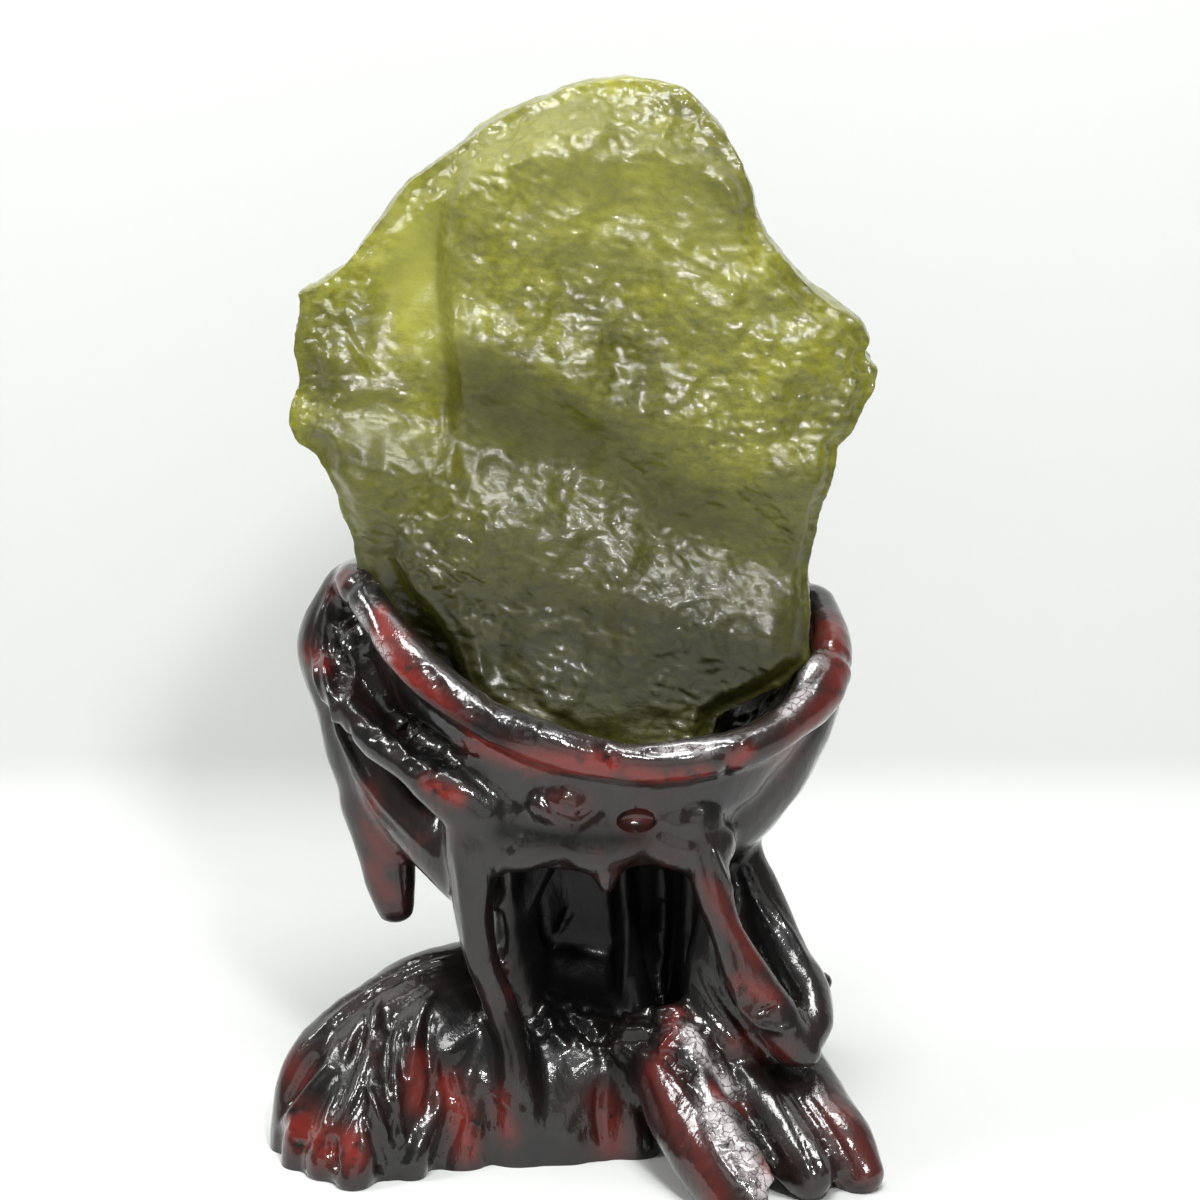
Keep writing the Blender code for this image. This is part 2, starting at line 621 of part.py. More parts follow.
def saw_apart(wood):
    """Saws the stand at its forks and makes each piece an object, named by the point nearest to it."""
    for centre, half_width, half_height, across in SAW_CUTS:
        carve(wood, box("saw", centre, (2 * half_width, 2 * half_height, BETWEEN_PIECES), across))
    whole = bmesh.new()
    whole.from_mesh(wood.data)
    whole.verts.ensure_lookup_table()
    parts = [{vert.index for face in part for vert in face.verts} for part in loose_parts(whole)]
    pieces = []
    for name, near in WOOD_PIECES.items():
        near = Vector(near) * MM
        gaps = [min((whole.verts[index].co - near).length for index in part) for part in parts]
        nearest = parts[gaps.index(min(gaps))]
        piece = whole.copy()
        piece.verts.ensure_lookup_table()
        others = [vert for vert in piece.verts if vert.index not in nearest]
        bmesh.ops.delete(piece, geom=others, context="VERTS")
        pieces.append(keep(piece, name))
    whole.free()
    bpy.data.objects.remove(wood)
    return pieces


def finish(obj, name, colour, roughness):
    """Gives a piece its material, and smooth shading everywhere but at its sharp edges."""
    obj.data.shade_smooth()
    obj.data.set_sharp_from_angle(angle=SHARP_ANGLE)
    material = bpy.data.materials.new(name)
    material.use_nodes = True
    surface = material.node_tree.nodes["Principled BSDF"]
    surface.inputs["Base Color"].default_value = colour
    surface.inputs["Roughness"].default_value = roughness
    surface.inputs["Metallic"].default_value = 0
    obj.data.materials.clear()
    obj.data.materials.append(material)


def centre_on_floor(pieces):
    """Moves all pieces together so that the middle of their box stands over the origin."""
    corners = [vert.co for piece in pieces for vert in piece.data.vertices]
    middle = [(min(co[axis] for co in corners) + max(co[axis] for co in corners)) / 2 for axis in (0, 1)]
    for piece in pieces:
        piece.data.transform(Matrix.Translation((-middle[0], -middle[1], 0)))


def main():
    clear_scene()
    glass = build_glass()
    wood = build_wood()
    cut_socket(wood, glass)
    pieces = saw_apart(wood)
    finish(glass, "desert_glass", SLAB_COLOUR, SLAB_ROUGHNESS)
    for piece in pieces:
        finish(piece, "lacquered_root_wood", WOOD_COLOUR, WOOD_ROUGHNESS)
    centre_on_floor([glass] + pieces)


main()
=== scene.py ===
# %% [markdown]
# # A slab of desert glass on a root-wood stand
# The glass is the thing on show: one broken slab of natural glass, olive-yellow, with a skin
# that looks hammered. It stands upright in the carved socket of a lacquered root. The packed
# CAD part gives both their place and size, and this script dresses them: a finer slab, a finer
# root, and the two finishes.

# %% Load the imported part
import math
import time

import bmesh
import bpy
import numpy as np
from mathutils import Matrix, Vector, noise
from mathutils.bvhtree import BVHTree


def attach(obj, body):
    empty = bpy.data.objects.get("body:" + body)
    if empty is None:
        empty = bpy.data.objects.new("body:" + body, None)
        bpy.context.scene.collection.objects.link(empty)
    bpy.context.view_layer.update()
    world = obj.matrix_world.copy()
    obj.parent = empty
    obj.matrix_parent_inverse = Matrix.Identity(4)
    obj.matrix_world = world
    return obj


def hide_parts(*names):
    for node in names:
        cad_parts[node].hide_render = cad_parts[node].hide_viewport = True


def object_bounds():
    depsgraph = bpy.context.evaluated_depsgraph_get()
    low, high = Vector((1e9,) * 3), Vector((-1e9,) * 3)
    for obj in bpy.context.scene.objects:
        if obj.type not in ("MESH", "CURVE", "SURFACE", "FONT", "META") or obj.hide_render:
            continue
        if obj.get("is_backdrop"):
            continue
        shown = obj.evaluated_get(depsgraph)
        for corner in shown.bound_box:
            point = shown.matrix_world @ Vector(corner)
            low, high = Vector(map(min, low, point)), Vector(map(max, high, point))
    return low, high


started = time.time()
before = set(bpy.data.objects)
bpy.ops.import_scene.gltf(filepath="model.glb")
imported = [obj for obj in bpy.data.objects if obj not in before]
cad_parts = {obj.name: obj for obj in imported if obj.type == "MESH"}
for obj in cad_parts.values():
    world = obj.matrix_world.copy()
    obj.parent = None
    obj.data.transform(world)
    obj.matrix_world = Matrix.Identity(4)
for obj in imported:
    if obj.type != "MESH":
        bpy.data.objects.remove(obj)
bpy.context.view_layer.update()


def report(*words):
    """Prints what was made, and the seconds since the script began."""
    print(*words, "seconds:", round(time.time() - started))


def in_mm(box):
    return [[round(value * 1000, 1) for value in corner] for corner in box]


# %% [markdown]
# ## Two ways to say where something is
# The root and the slab are drawn in millimetres, in the frame they were first drawn in. The
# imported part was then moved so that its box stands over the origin, and `SHIFT` is that move.
# Small forms are easier to read off the photograph, so they are given as its pixels, and the
# camera's own geometry carries a pixel to the surface it falls on, or a point to its pixel.

# %% Millimetres, the shift and the view
MM = 0.001
SHIFT = Vector((1.3048, 10.5387, 0))
PHOTO = 1200
FOCAL = 3360
DISTANCE = 800
DOWN = math.radians(13)
AIM = Vector((6.705, 10.539, 128)) * MM
AHEAD = Vector((0, math.cos(DOWN), -math.sin(DOWN)))
UPWARD = Vector((0, math.sin(DOWN), math.cos(DOWN)))
EYE = AIM - AHEAD * DISTANCE * MM


def to_pixels(points):
    """The photograph's pixel of each point."""
    away = points - np.array(EYE)
    depth = away @ np.array(AHEAD)
    across = PHOTO / 2 + FOCAL * away[:, 0] / depth
    down = PHOTO / 2 - FOCAL * (away @ np.array(UPWARD)) / depth
    return np.stack([across, down], 1)


def sight_line(pixel):
    """The direction in which the camera sees a pixel."""
    across = (pixel[0] - PHOTO / 2) / FOCAL
    up = (PHOTO / 2 - pixel[1]) / FOCAL
    return (AHEAD + Vector((across, 0, 0)) + UPWARD * up).normalized()


# %% [markdown]
# ## The camera
# The photograph looks down on the specimen by about 13 degrees, from less than a metre away.
# A lens of about 100 mm gives the same frame on Blender's 36 mm sensor.

# %% Camera
SENSOR = 36
lens = bpy.data.cameras.new("view")
lens.sensor_width = SENSOR
lens.lens = SENSOR * FOCAL / PHOTO
lens.clip_start = 0.01
camera = bpy.data.objects.new("view", lens)
camera.location = EYE
camera.rotation_euler = (math.pi / 2 - DOWN, 0, 0)
bpy.context.scene.collection.objects.link(camera)
bpy.context.scene.camera = camera
print("lens in mm:", round(lens.lens, 1))

# %% [markdown]
# ## Helpers for objects and materials
# A bmesh becomes an object, and a material is a tree of nodes. Every material below is built
# with the same two steps: make a node, then fill its sockets with a value or with a link.

# %% Helpers for objects and materials


def keep(shape, name):
    """Turns a bmesh into a scene object."""
    mesh = bpy.data.meshes.new(name)
    shape.to_mesh(mesh)
    shape.free()
    made = bpy.data.objects.new(name, mesh)
    bpy.context.scene.collection.objects.link(made)
    return made


def fill(tree, made, sockets):
    """Fills a node's sockets: another node's output is linked, anything else is set on the socket."""
    for socket, value in sockets.items():
        if isinstance(value, bpy.types.NodeSocket):
            tree.links.new(value, made.inputs[socket])
        else:
            made.inputs[socket].default_value = value


def node(tree, kind, sockets=None, **settings):
    made = tree.nodes.new(kind)
    for key, value in settings.items():
        setattr(made, key, value)
    fill(tree, made, sockets or {})
    return made


def new_material(name):
    """A new material, its node tree and its Principled surface."""
    material = bpy.data.materials.new(name)
    material.use_nodes = True
    return material, material.node_tree, material.node_tree.nodes["Principled BSDF"]


# %% [markdown]
# ## Floor and backdrop
# A photographer's sweep: one pale sheet that lies flat and turns up behind the specimen. It is
# a row of points pulled sideways, so the fold keeps the soft line that the photograph shows.
# From behind the sheet can be looked through, so that the specimen's back can be seen too.

# %% Sweep
FOLD_Y = 0.225
FOLD_RADIUS = 0.03
FOLD_STEPS = 12
SWEEP_HALF_WIDTH = 1.6
SWEEP_FRONT = -1.5
SWEEP_TOP = 1.3
SWEEP_LEAN = 0.06
PAPER = (0.58, 0.59, 0.58, 1)


def build_sweep():
    line = [(SWEEP_FRONT, 0), (FOLD_Y - FOLD_RADIUS, 0)]
    for step in range(1, FOLD_STEPS):
        angle = math.pi / 2 * step / FOLD_STEPS
        y = FOLD_Y - FOLD_RADIUS + FOLD_RADIUS * math.sin(angle)
        line.append((y, FOLD_RADIUS * (1 - math.cos(angle))))
    line += [(FOLD_Y, FOLD_RADIUS), (FOLD_Y + SWEEP_LEAN, SWEEP_TOP)]
    sheet = bmesh.new()
    verts = [sheet.verts.new((-SWEEP_HALF_WIDTH, y, z)) for y, z in line]
    edges = [sheet.edges.new(pair) for pair in zip(verts, verts[1:])]
    pulled = bmesh.ops.extrude_edge_only(sheet, edges=edges)["geom"]
    moved = [item for item in pulled if isinstance(item, bmesh.types.BMVert)]
    bmesh.ops.translate(sheet, verts=moved, vec=(2 * SWEEP_HALF_WIDTH, 0, 0))
    bmesh.ops.recalc_face_normals(sheet, faces=sheet.faces)
    if next(iter(sheet.faces)).normal.z < 0:
        bmesh.ops.reverse_faces(sheet, faces=sheet.faces)
    return keep(sheet, "sweep")


def paper_finish():
    paper, tree, surface = new_material("white paper")
    fill(tree, surface, {"Base Color": PAPER, "Roughness": 0.8, "Specular IOR Level": 0.2})
    behind = node(tree, "ShaderNodeNewGeometry").outputs["Backfacing"]
    clear = node(tree, "ShaderNodeBsdfTransparent").outputs["BSDF"]
    either = node(tree, "ShaderNodeMixShader", {"Fac": behind, 1: surface.outputs["BSDF"], 2: clear})
    fill(tree, tree.nodes["Material Output"], {"Surface": either.outputs["Shader"]})
    return paper


sweep = build_sweep()
sweep.data.shade_smooth()
sweep.data.materials.append(paper_finish())
sweep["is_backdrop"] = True
print("sweep faces:", len(sweep.data.polygons))

# %% [markdown]
# ## Light
# Real glints are small and bright, so the lamps that make them are small too. One hangs above
# and one at the left, where the rolls of the root mirror them, and a small window in front makes
# the sparkle on the hammered glass. A wide, weak lamp fills the front, and one whitens the
# backdrop. A dim even surround stands for the room.

# %% Lights
LIGHTS = {
    "overhead": dict(place=(0.05, -0.30, 0.95), aim=(0, 0, 0.1), size=(0.36, 0.26), power=7.5),
    "left": dict(place=(-0.80, -0.15, 0.85), aim=(0, 0, 0.1), size=(0.26, 0.26), power=5.5),
    "front": dict(place=(0, -1.7, 0.35), aim=(0, 0, 0.12), size=(1.3, 0.7), power=2.5),
    "window": dict(place=(0.22, -0.85, 0.85), aim=(0, 0, 0.15), size=(0.13, 0.13), power=7.5),
    "backdrop": dict(place=(0, 0.02, 1.1), aim=(0, 0.3, 0.3), size=(0.9, 0.2), power=2.6),
}
ROOM = (0.80, 0.84, 0.81, 1)
ROOM_STRENGTH = 0.24


def hang_light(name, place, aim, size, power):
    light = bpy.data.lights.new(name, "AREA")
    light.shape = "RECTANGLE"
    light.size, light.size_y = size
    light.energy = power
    lamp = bpy.data.objects.new(name, light)
    lamp.location = place
    lamp.rotation_euler = (Vector(aim) - Vector(place)).to_track_quat("-Z", "Y").to_euler()
    bpy.context.scene.collection.objects.link(lamp)


for name, settings in LIGHTS.items():
    hang_light(name, **settings)
world = bpy.data.worlds.new("room")
bpy.context.scene.world = world
world.use_nodes = True
fill(world.node_tree, world.node_tree.nodes["Background"], {"Color": ROOM, "Strength": ROOM_STRENGTH})
print("lamps:", len(LIGHTS))
bpy.context.scene.view_settings.view_transform = "Standard"
bpy.context.scene.cycles.use_denoising = True

# %% [markdown]
# ## Helpers for clay-like work
# Both pieces are made as in clay: rough forms are fused into one skin by a voxel remesh, then
# low forms are raised or sunk in that skin, and at last it is thinned to a fair number of faces.

# %% Helpers for clay-like work
# The seeds of the noise: the layers on one piece have different ones, so none repeats another
SEEDS = dict(
    front=0, rim=5, back=7, uneven=11, dents=21, ripples=24, patches=40, paint=60,
    wood=11, pitting=31, crust=51, grain=71,
)


def add(obj, kind, **settings):
    modifier = obj.modifiers.new(kind.lower(), kind)
    for key, value in settings.items():
        setattr(modifier, key, value)


def settle(obj):
    """Replaces an object's mesh by what its modifiers make of it."""
    graph = bpy.context.evaluated_depsgraph_get()
    mesh = bpy.data.meshes.new_from_object(obj.evaluated_get(graph))
    obj.modifiers.clear()
    obj.data = mesh


def thin_out(obj, triangles):
    add(obj, "TRIANGULATE")
    settle(obj)
    add(obj, "DECIMATE", ratio=min(1, triangles / len(obj.data.polygons)))
    settle(obj)


def places_of(obj):
    places = np.empty(len(obj.data.vertices) * 3)
    obj.data.vertices.foreach_get("co", places)
    return places.reshape(-1, 3)


def normals_of(obj):
    normals = np.empty(len(obj.data.vertices) * 3)
    obj.data.vertices.foreach_get("normal", normals)
    return normals.reshape(-1, 3)


def move_points(obj, places):
    obj.data.vertices.foreach_set("co", places.reshape(-1))
    obj.data.update()


def smoothstep(value):
    value = np.clip(value, 0, 1)
    return value * value * (3 - 2 * value)


def lumps(points, pitch, seed):
    """Smooth seeded noise, about -1 to 1. Pitch is one size, or one for each axis."""
    offset = np.array((17.3, 5.1, 9.7)) * seed
    return np.array([noise.noise(place) for place in (points / np.array(pitch) + offset).tolist()])


def to_path(points, path):
    """Distance from each point to a path, and how far along the path the nearest place lies."""
    path = np.array(path, float)[:, :points.shape[1]]
    best = np.full(len(points), np.inf)
    place = np.zeros(len(points))
    for index in range(len(path) - 1):
        run = path[index + 1] - path[index]
        share = np.clip(((points - path[index]) @ run) / max(run @ run, 1e-12), 0, 1)
        distance = np.linalg.norm(points - path[index] - share[:, None] * run, axis=1)
        closer = distance < best
        best = np.where(closer, distance, best)
        place = np.where(closer, index + share, place)
    return best, place

# %% [markdown]
# ## The slab's form
# Desert glass is natural glass that wind and sand have dulled and hammered. The slab was broken
# off a larger lump: a thick front mass, and at the left a lower lobe behind a sharp step. It is
# made from its outline, extruded as a flat tablet, remeshed into an even skin, and then given
# its relief: each point of the skin keeps its place in the outline and moves in depth.

# %% Slab: outline and large relief
# Edge of the slab seen from the front (x, z, width of the bevel there), clockwise from the top
GLASS_EDGE = [
    (1, 249, 14), (10, 250, 15), (18, 250, 15), (25, 248, 14), (30, 243, 12), (34, 239, 10),
    (38, 232, 8), (41, 225, 5), (42, 220, 4), (44, 214, 4), (50, 208, 4), (55, 203, 4), (60, 199, 5),
    (66, 195, 6), (68, 191, 6), (67, 188, 5), (70, 185, 4), (69, 180, 4), (66, 176, 3), (63, 170, 3),
    (60, 167, 3), (59, 161, 3), (57, 155, 3), (56, 147, 3), (54, 140, 3), (54, 127, 3), (54, 118, 4),
    (48, 112, 5), (40, 108, 5), (33, 104, 5), (31, 97, 4), (27, 90, 4), (18, 87, 4), (6, 86, 4),
    (-6, 88, 4), (-16, 92, 4), (-25, 98, 4), (-33, 105, 4), (-40, 113, 4), (-46, 122, 4), (-50, 132, 4),
    (-52, 141, 4), (-53, 147, 4), (-55, 152, 4), (-56, 157, 4), (-58, 161, 5), (-61, 165, 6),
    (-65, 167, 7), (-67, 171, 8), (-67, 176, 9), (-65, 181, 10), (-66, 188, 11), (-65, 193, 11),
    (-64, 196, 10), (-65, 201, 8), (-60, 203, 7), (-54, 208, 7), (-50, 213, 7), (-44, 220, 7),
    (-39, 227, 7), (-32, 232, 8), (-22, 239, 9), (-13, 244, 11), (-4, 248, 12),
]
# The left lobe lies lower than the front mass: its border (x, z) and the height of the step there
GLASS_STEP = [
    (-16, 262, 4), (-25, 236, 4), (-28, 224, 7), (-31, 213, 9), (-31, 204, 9), (-30, 194, 9),
    (-29, 184, 7), (-29, 172, 4), (-32, 160, 2), (-39, 150, 2), (-43, 142, 6), (-38, 134, 9),
    (-33, 128, 10), (-29, 120, 10), (-26, 112, 10), (-22, 104, 10), (-14, 96, 9), (0, 80, 8),
]
# Long swells and troughs of the front face: (rise, half width, places x, z)
GLASS_RIDGES = [
    (3.0, 8, [(-28, 192), (-8, 185), (10, 177), (30, 168), (50, 160)]),
    (-3.6, 10, [(-26, 174), (-6, 167), (14, 156), (34, 145), (52, 136)]),
    (2.6, 10, [(-24, 148), (0, 138), (20, 130), (44, 124)]),
    (1.8, 6, [(22, 206), (36, 196), (52, 190)]),
]
# Round swells and dimples of the front face: (x, z, half width, half height, rise)
GLASS_SWELLS = [
    (-42, 200, 11, 17, -2.5), (-48, 162, 13, 9, 3.0), (10, 189, 5, 4, -2.4), (12, 214, 22, 17, -2.2),
    (-6, 232, 9, 6, 1.8), (20, 236, 8, 6, 1.6), (28, 226, 7, 7, -1.6), (-54, 184, 7, 8, 1.5),
    (38, 180, 8, 7, 1.6), (-36, 118, 8, 10, -1.5), (2, 112, 22, 12, 1.8), (-14, 208, 8, 10, 1.4),
    (-38, 182, 8, 7, 1.6),
]
# Seeded unevenness, one layer for each (pitch, rise): on the front face, on the back face, and all over
GLASS_FRONT_LUMPS = [(26, 1.4), (11, 0.9), (5.5, 0.55)]
GLASS_BACK_LUMPS = [(24, 1.6), (9, 0.8)]
GLASS_UNEVEN = [(15, 1.3), (6, 0.4)]
# The slab's middle plane lies this far behind its front face and before its back face
GLASS_FRONT = 17
GLASS_BACK = 13
# Width over which the step rises
STEP_SLOPE = 4
# Behind the lower lobe the back is thinner by this much, left of this x and over this width
LOBE_BACK = dict(thinner=6, x=-22, width=14)
# Share of the thickness left at the edge: a narrow bevel leaves a steep side, a wide one a thin edge
BEVEL_WIDTHS = (3, 14)
EDGE_SHARES = (0.8, 0.25)
BEVEL_UNEVEN = (12, 0.4)
BEVEL_START = 1
# The slab leans back about this point (y, z)
GLASS_LEAN = math.radians(8)
GLASS_FOOT = (-9, 97)
GLASS_VOXEL = 0.62
GLASS_SMOOTHING = dict(factor=0.5, iterations=6)
GLASS_TRIANGLES = 195000


def layered(points, layers, first_seed):
    """The sum of several layers of seeded noise, one for each (pitch, rise)."""
    return sum(rise * lumps(points, pitch, first_seed + i) for i, (pitch, rise) in enumerate(layers))


def left_of_step(points):
    """Marks the points on the left of the step, where the lower lobe is."""
    by_height = sorted(((z, x) for x, z, _ in GLASS_STEP))
    border = np.interp(points[:, 1], [z for z, _ in by_height], [x for _, x in by_height])
    return points[:, 0] < border


def glass_relief(flat):
    """How far the front face stands out from the middle of the slab."""
    distance, place = to_path(flat, GLASS_STEP)
    drop = np.interp(place, range(len(GLASS_STEP)), [station[2] for station in GLASS_STEP])
    into_lobe = np.where(left_of_step(flat), distance, -distance)
    height = GLASS_FRONT - drop * smoothstep(0.5 + into_lobe / STEP_SLOPE)
    for rise, half_width, path in GLASS_RIDGES:
        distance, place = to_path(flat, path)
        height += rise * np.exp(-((distance / half_width) ** 2))
    for x, z, half_width, half_height, rise in GLASS_SWELLS:
        away = ((flat[:, 0] - x) / half_width) ** 2 + ((flat[:, 1] - z) / half_height) ** 2
        height += rise * np.exp(-away)
    return height + layered(np.insert(flat, 1, 0, axis=1), GLASS_FRONT_LUMPS, SEEDS["front"])


def glass_back(flat):
    """How far the back face stands out from the middle of the slab."""
    thinner = LOBE_BACK["thinner"] * smoothstep((LOBE_BACK["x"] - flat[:, 0]) / LOBE_BACK["width"])
    unevenness = layered(np.insert(flat, 1, 0, axis=1), GLASS_BACK_LUMPS, SEEDS["back"])
    return GLASS_BACK - thinner + unevenness


def glass_rim(places):
    """Share of the thickness left at each point, its distance from the edge and its bevel's width."""
    loop = GLASS_EDGE + GLASS_EDGE[:1]
    inside, place = to_path(places[:, [0, 2]], loop)
    bevel = np.interp(place, range(len(loop)), [station[2] for station in loop])
    pitch, unevenness = BEVEL_UNEVEN
    bevel *= 1 + unevenness * lumps(places, pitch, SEEDS["rim"])
    edge = np.interp(bevel, BEVEL_WIDTHS, EDGE_SHARES)
    up_the_bevel = np.clip((inside - BEVEL_START) / bevel, 0, 1)
    return edge + (1 - edge) * smoothstep(up_the_bevel), inside, bevel


def rough_slab():
    """The slab with its large forms, in place, and what glass_rim says of its edge."""
    shape = bmesh.new()
    edge = [shape.verts.new(Vector((x, -GLASS_FRONT, z)) * MM) for x, z, _ in GLASS_EDGE]
    front = shape.faces.new(edge)
    pushed = bmesh.ops.extrude_face_region(shape, geom=[front])["geom"]
    behind = [item for item in pushed if isinstance(item, bmesh.types.BMVert)]
    bmesh.ops.translate(shape, verts=behind, vec=Vector((0, GLASS_FRONT + GLASS_BACK, 0)) * MM)
    bmesh.ops.recalc_face_normals(shape, faces=shape.faces)
    slab = keep(shape, "desert_glass_slab")
    add(slab, "REMESH", mode="VOXEL", voxel_size=GLASS_VOXEL * MM)
    add(slab, "SMOOTH", **GLASS_SMOOTHING)
    settle(slab)
    places = places_of(slab) / MM
    flat = places[:, [0, 2]]
    middle = GLASS_FOOT[0] + (places[:, 2] - GLASS_FOOT[1]) * math.tan(GLASS_LEAN)
    rim, inside, bevel = glass_rim(places)
    to_front = places[:, 1] / GLASS_FRONT * glass_relief(flat)
    to_back = places[:, 1] / GLASS_BACK * glass_back(flat)
    places[:, 1] = middle + np.where(places[:, 1] < 0, to_front, to_back) * rim
    move_points(slab, (places + np.array(SHIFT)) * MM)
    return slab, inside, bevel


slab, slab_inside, slab_bevel = rough_slab()
report("slab points:", len(slab.data.vertices))

# %% [markdown]
# ## The slab's skin
# The skin is covered with shallow dents about a millimetre or two wide, drawn out sideways and
# along slanting bands, and between them lie smooth places: a scoop and a dome on the left lobe
# and a brown patch beside the step. Layers of seeded noise stand for the dents. A map of rough
# and smooth places, drawn as round spots in the photograph's pixels, says how deep they are.

# %% Slab: dents, creases and smooth places
# Dents with narrow crests, and ripples: (pitch along x, y, z in millimetres, depth)
DENTS = [((6.0, 4, 3.0), 0.26)]
DENT_CREST = 0.5
DENT_DEPTH = 2.2
RIPPLES = [((3.2, 2.2, 1.5), 0.27), ((1.9, 1.5, 1.1), 0.25)]
RIPPLE_GAIN = 1.5
RIPPLE_SLANT = math.radians(18)
# The dents are deeper in some patches than in others
PATCHES = dict(pitch=(17, 12, 9), middle=0.75, swing=0.5)
# They are deeper by this share near the rim, and die out by this share at the very outline
ROUGH_RIM = 0.5
NARROWEST_BEVEL = 3
CALM_RIM = 0.6
CALM_WIDTH = 1.2
# How fast the relief takes hold as the skin turns towards the front
TURN_TO_FRONT = 2
# Smooth and rough places of the front face: (u, v, half width, half height, factor on the dents)
SKIN_MAP = [
    (410, 285, 55, 75, 0.18), (375, 430, 60, 48, 0.35), (500, 372, 50, 35, 0.35),
    (640, 200, 130, 55, 0.45), (330, 340, 28, 60, 0.7), (600, 430, 110, 40, 0.5),
    (445, 555, 40, 60, 2.6), (640, 105, 90, 35, 1.5), (500, 175, 40, 30, 1.4),
    (580, 580, 120, 90, 0.95), (760, 430, 60, 60, 1.4), (600, 300, 110, 40, 1.25),
    (790, 640, 40, 30, 0.5), (760, 530, 60, 30, 0.6), (620, 380, 60, 40, 1.2),
    (400, 620, 50, 60, 0.6),
]
# Narrow ridges and grooves of the front face: (half width in pixels, rise, points u, v)
CREASES = [
    (7, -0.9, [(458, 218), (446, 250), (450, 300), (455, 350), (457, 400)]),
    (9, -0.8, [(459, 440), (470, 490), (471, 550)]),
    (8, 1.1, [
        (345, 470), (403, 531), (432, 573), (456, 596), (472, 636), (481, 672), (499, 698), (548, 725),
    ]),
    (6, -0.7, [(330, 300), (352, 345), (372, 372)]),
    (7, 0.5, [(322, 412), (352, 392), (392, 392), (432, 412)]),
    (5, -0.6, [(500, 160), (520, 200), (500, 222)]),
    (5, 0.6, [(660, 240), (700, 262), (740, 285)]),
]


def slab_skin(slab, inside, bevel):
    """Gives the rough slab its dents, ripples and creases."""
    places = places_of(slab)
    normals = normals_of(slab)
    drawn = places / MM - np.array(SHIFT)
    pixels = to_pixels(places)
    facing = smoothstep(-normals[:, 1] * TURN_TO_FRONT)
    rough = np.ones(len(places))
    for u, v, half_width, half_height, factor in SKIN_MAP:
        away = ((pixels[:, 0] - u) / half_width) ** 2 + ((pixels[:, 1] - v) / half_height) ** 2
        rough *= 1 + (factor - 1) * np.exp(-away) * facing
    rough *= 1 + ROUGH_RIM * np.exp(-((inside / np.maximum(bevel, NARROWEST_BEVEL)) ** 2))
    rough *= 1 - CALM_RIM * np.exp(-((inside / CALM_WIDTH) ** 2))
    rise = layered(drawn, GLASS_UNEVEN, SEEDS["uneven"])
    patches = PATCHES["middle"] + PATCHES["swing"] * lumps(drawn, PATCHES["pitch"], SEEDS["patches"])
    slanted = drawn @ np.array(Matrix.Rotation(-RIPPLE_SLANT, 3, "Y")).T
    for layer, (pitch, height) in enumerate(DENTS):
        crests = DENT_CREST - DENT_DEPTH * np.abs(lumps(slanted, pitch, SEEDS["dents"] + layer))
        rise += height * rough * patches * crests
    for layer, (pitch, height) in enumerate(RIPPLES):
        waves = lumps(slanted, pitch, SEEDS["ripples"] + layer)
        rise += height * rough * patches * waves * RIPPLE_GAIN
    for width, height, path in CREASES:
        distance, _ = to_path(pixels, path)
        rise += height * np.exp(-((distance / width) ** 2)) * facing
    move_points(slab, places + normals * rise[:, None] * MM)


slab_skin(slab, slab_inside, slab_bevel)
thin_out(slab, GLASS_TRIANGLES)
slab.data.shade_smooth()
report("slab triangles:", len(slab.data.polygons))

# %% [markdown]
# ## The root stand's form
# The stand is one root, cut so that its hollow stump takes the foot of the slab and its roots
# make the feet. Each root is a limb: a circle pushed from station to station, turned and sized
# on the way. The limbs run into each other, and a voxel remesh makes one skin of them.

# %% Root: stations of the limbs
# The lip of the socket: a closed roll that dips at the front (x, y, z, radius out, radius up)
LIP = [
    (57, 5, 126, 5, 5), (60, -8, 119, 5, 6), (57, -20, 112, 6, 6), (49, -30, 106, 5, 5),
    (39, -36, 102, 5, 5), (27, -39, 100, 5, 4), (14, -40, 99, 5, 4), (2, -40, 101, 5, 5),
    (-9, -39, 104, 5, 5), (-20, -36, 108, 5, 5), (-30, -32, 114, 5, 5), (-39, -26, 121, 5, 5),
    (-46, -18, 128, 5, 5), (-51, -9, 133, 5, 5), (-53, 2, 134, 4, 4), (-48, 13, 132, 4, 4),
    (-36, 20, 129, 4, 4), (-16, 24, 126, 4, 4), (6, 25, 124, 4, 4), (30, 23, 123, 4, 4),
    (49, 16, 125, 4, 4),
]
# The socket's outer wall: share of the way down to the waist, and how far the ring has closed in
WALL_RINGS = [(0.0, 0.0), (0.25, 0.1), (0.5, 0.32), (0.75, 0.64), (1.0, 1.0)]
WAIST = dict(x=4, y=-7, z=72, half_width=31, half_depth=29)
FLOOR = dict(x=5, y=-9, z=93, half_width=32, half_depth=18)
FLOOR_RINGS = (0.0, 0.35, 0.7, 1.0)
FLOOR_CURVE = 1.6
LIP_THICKNESS = 7

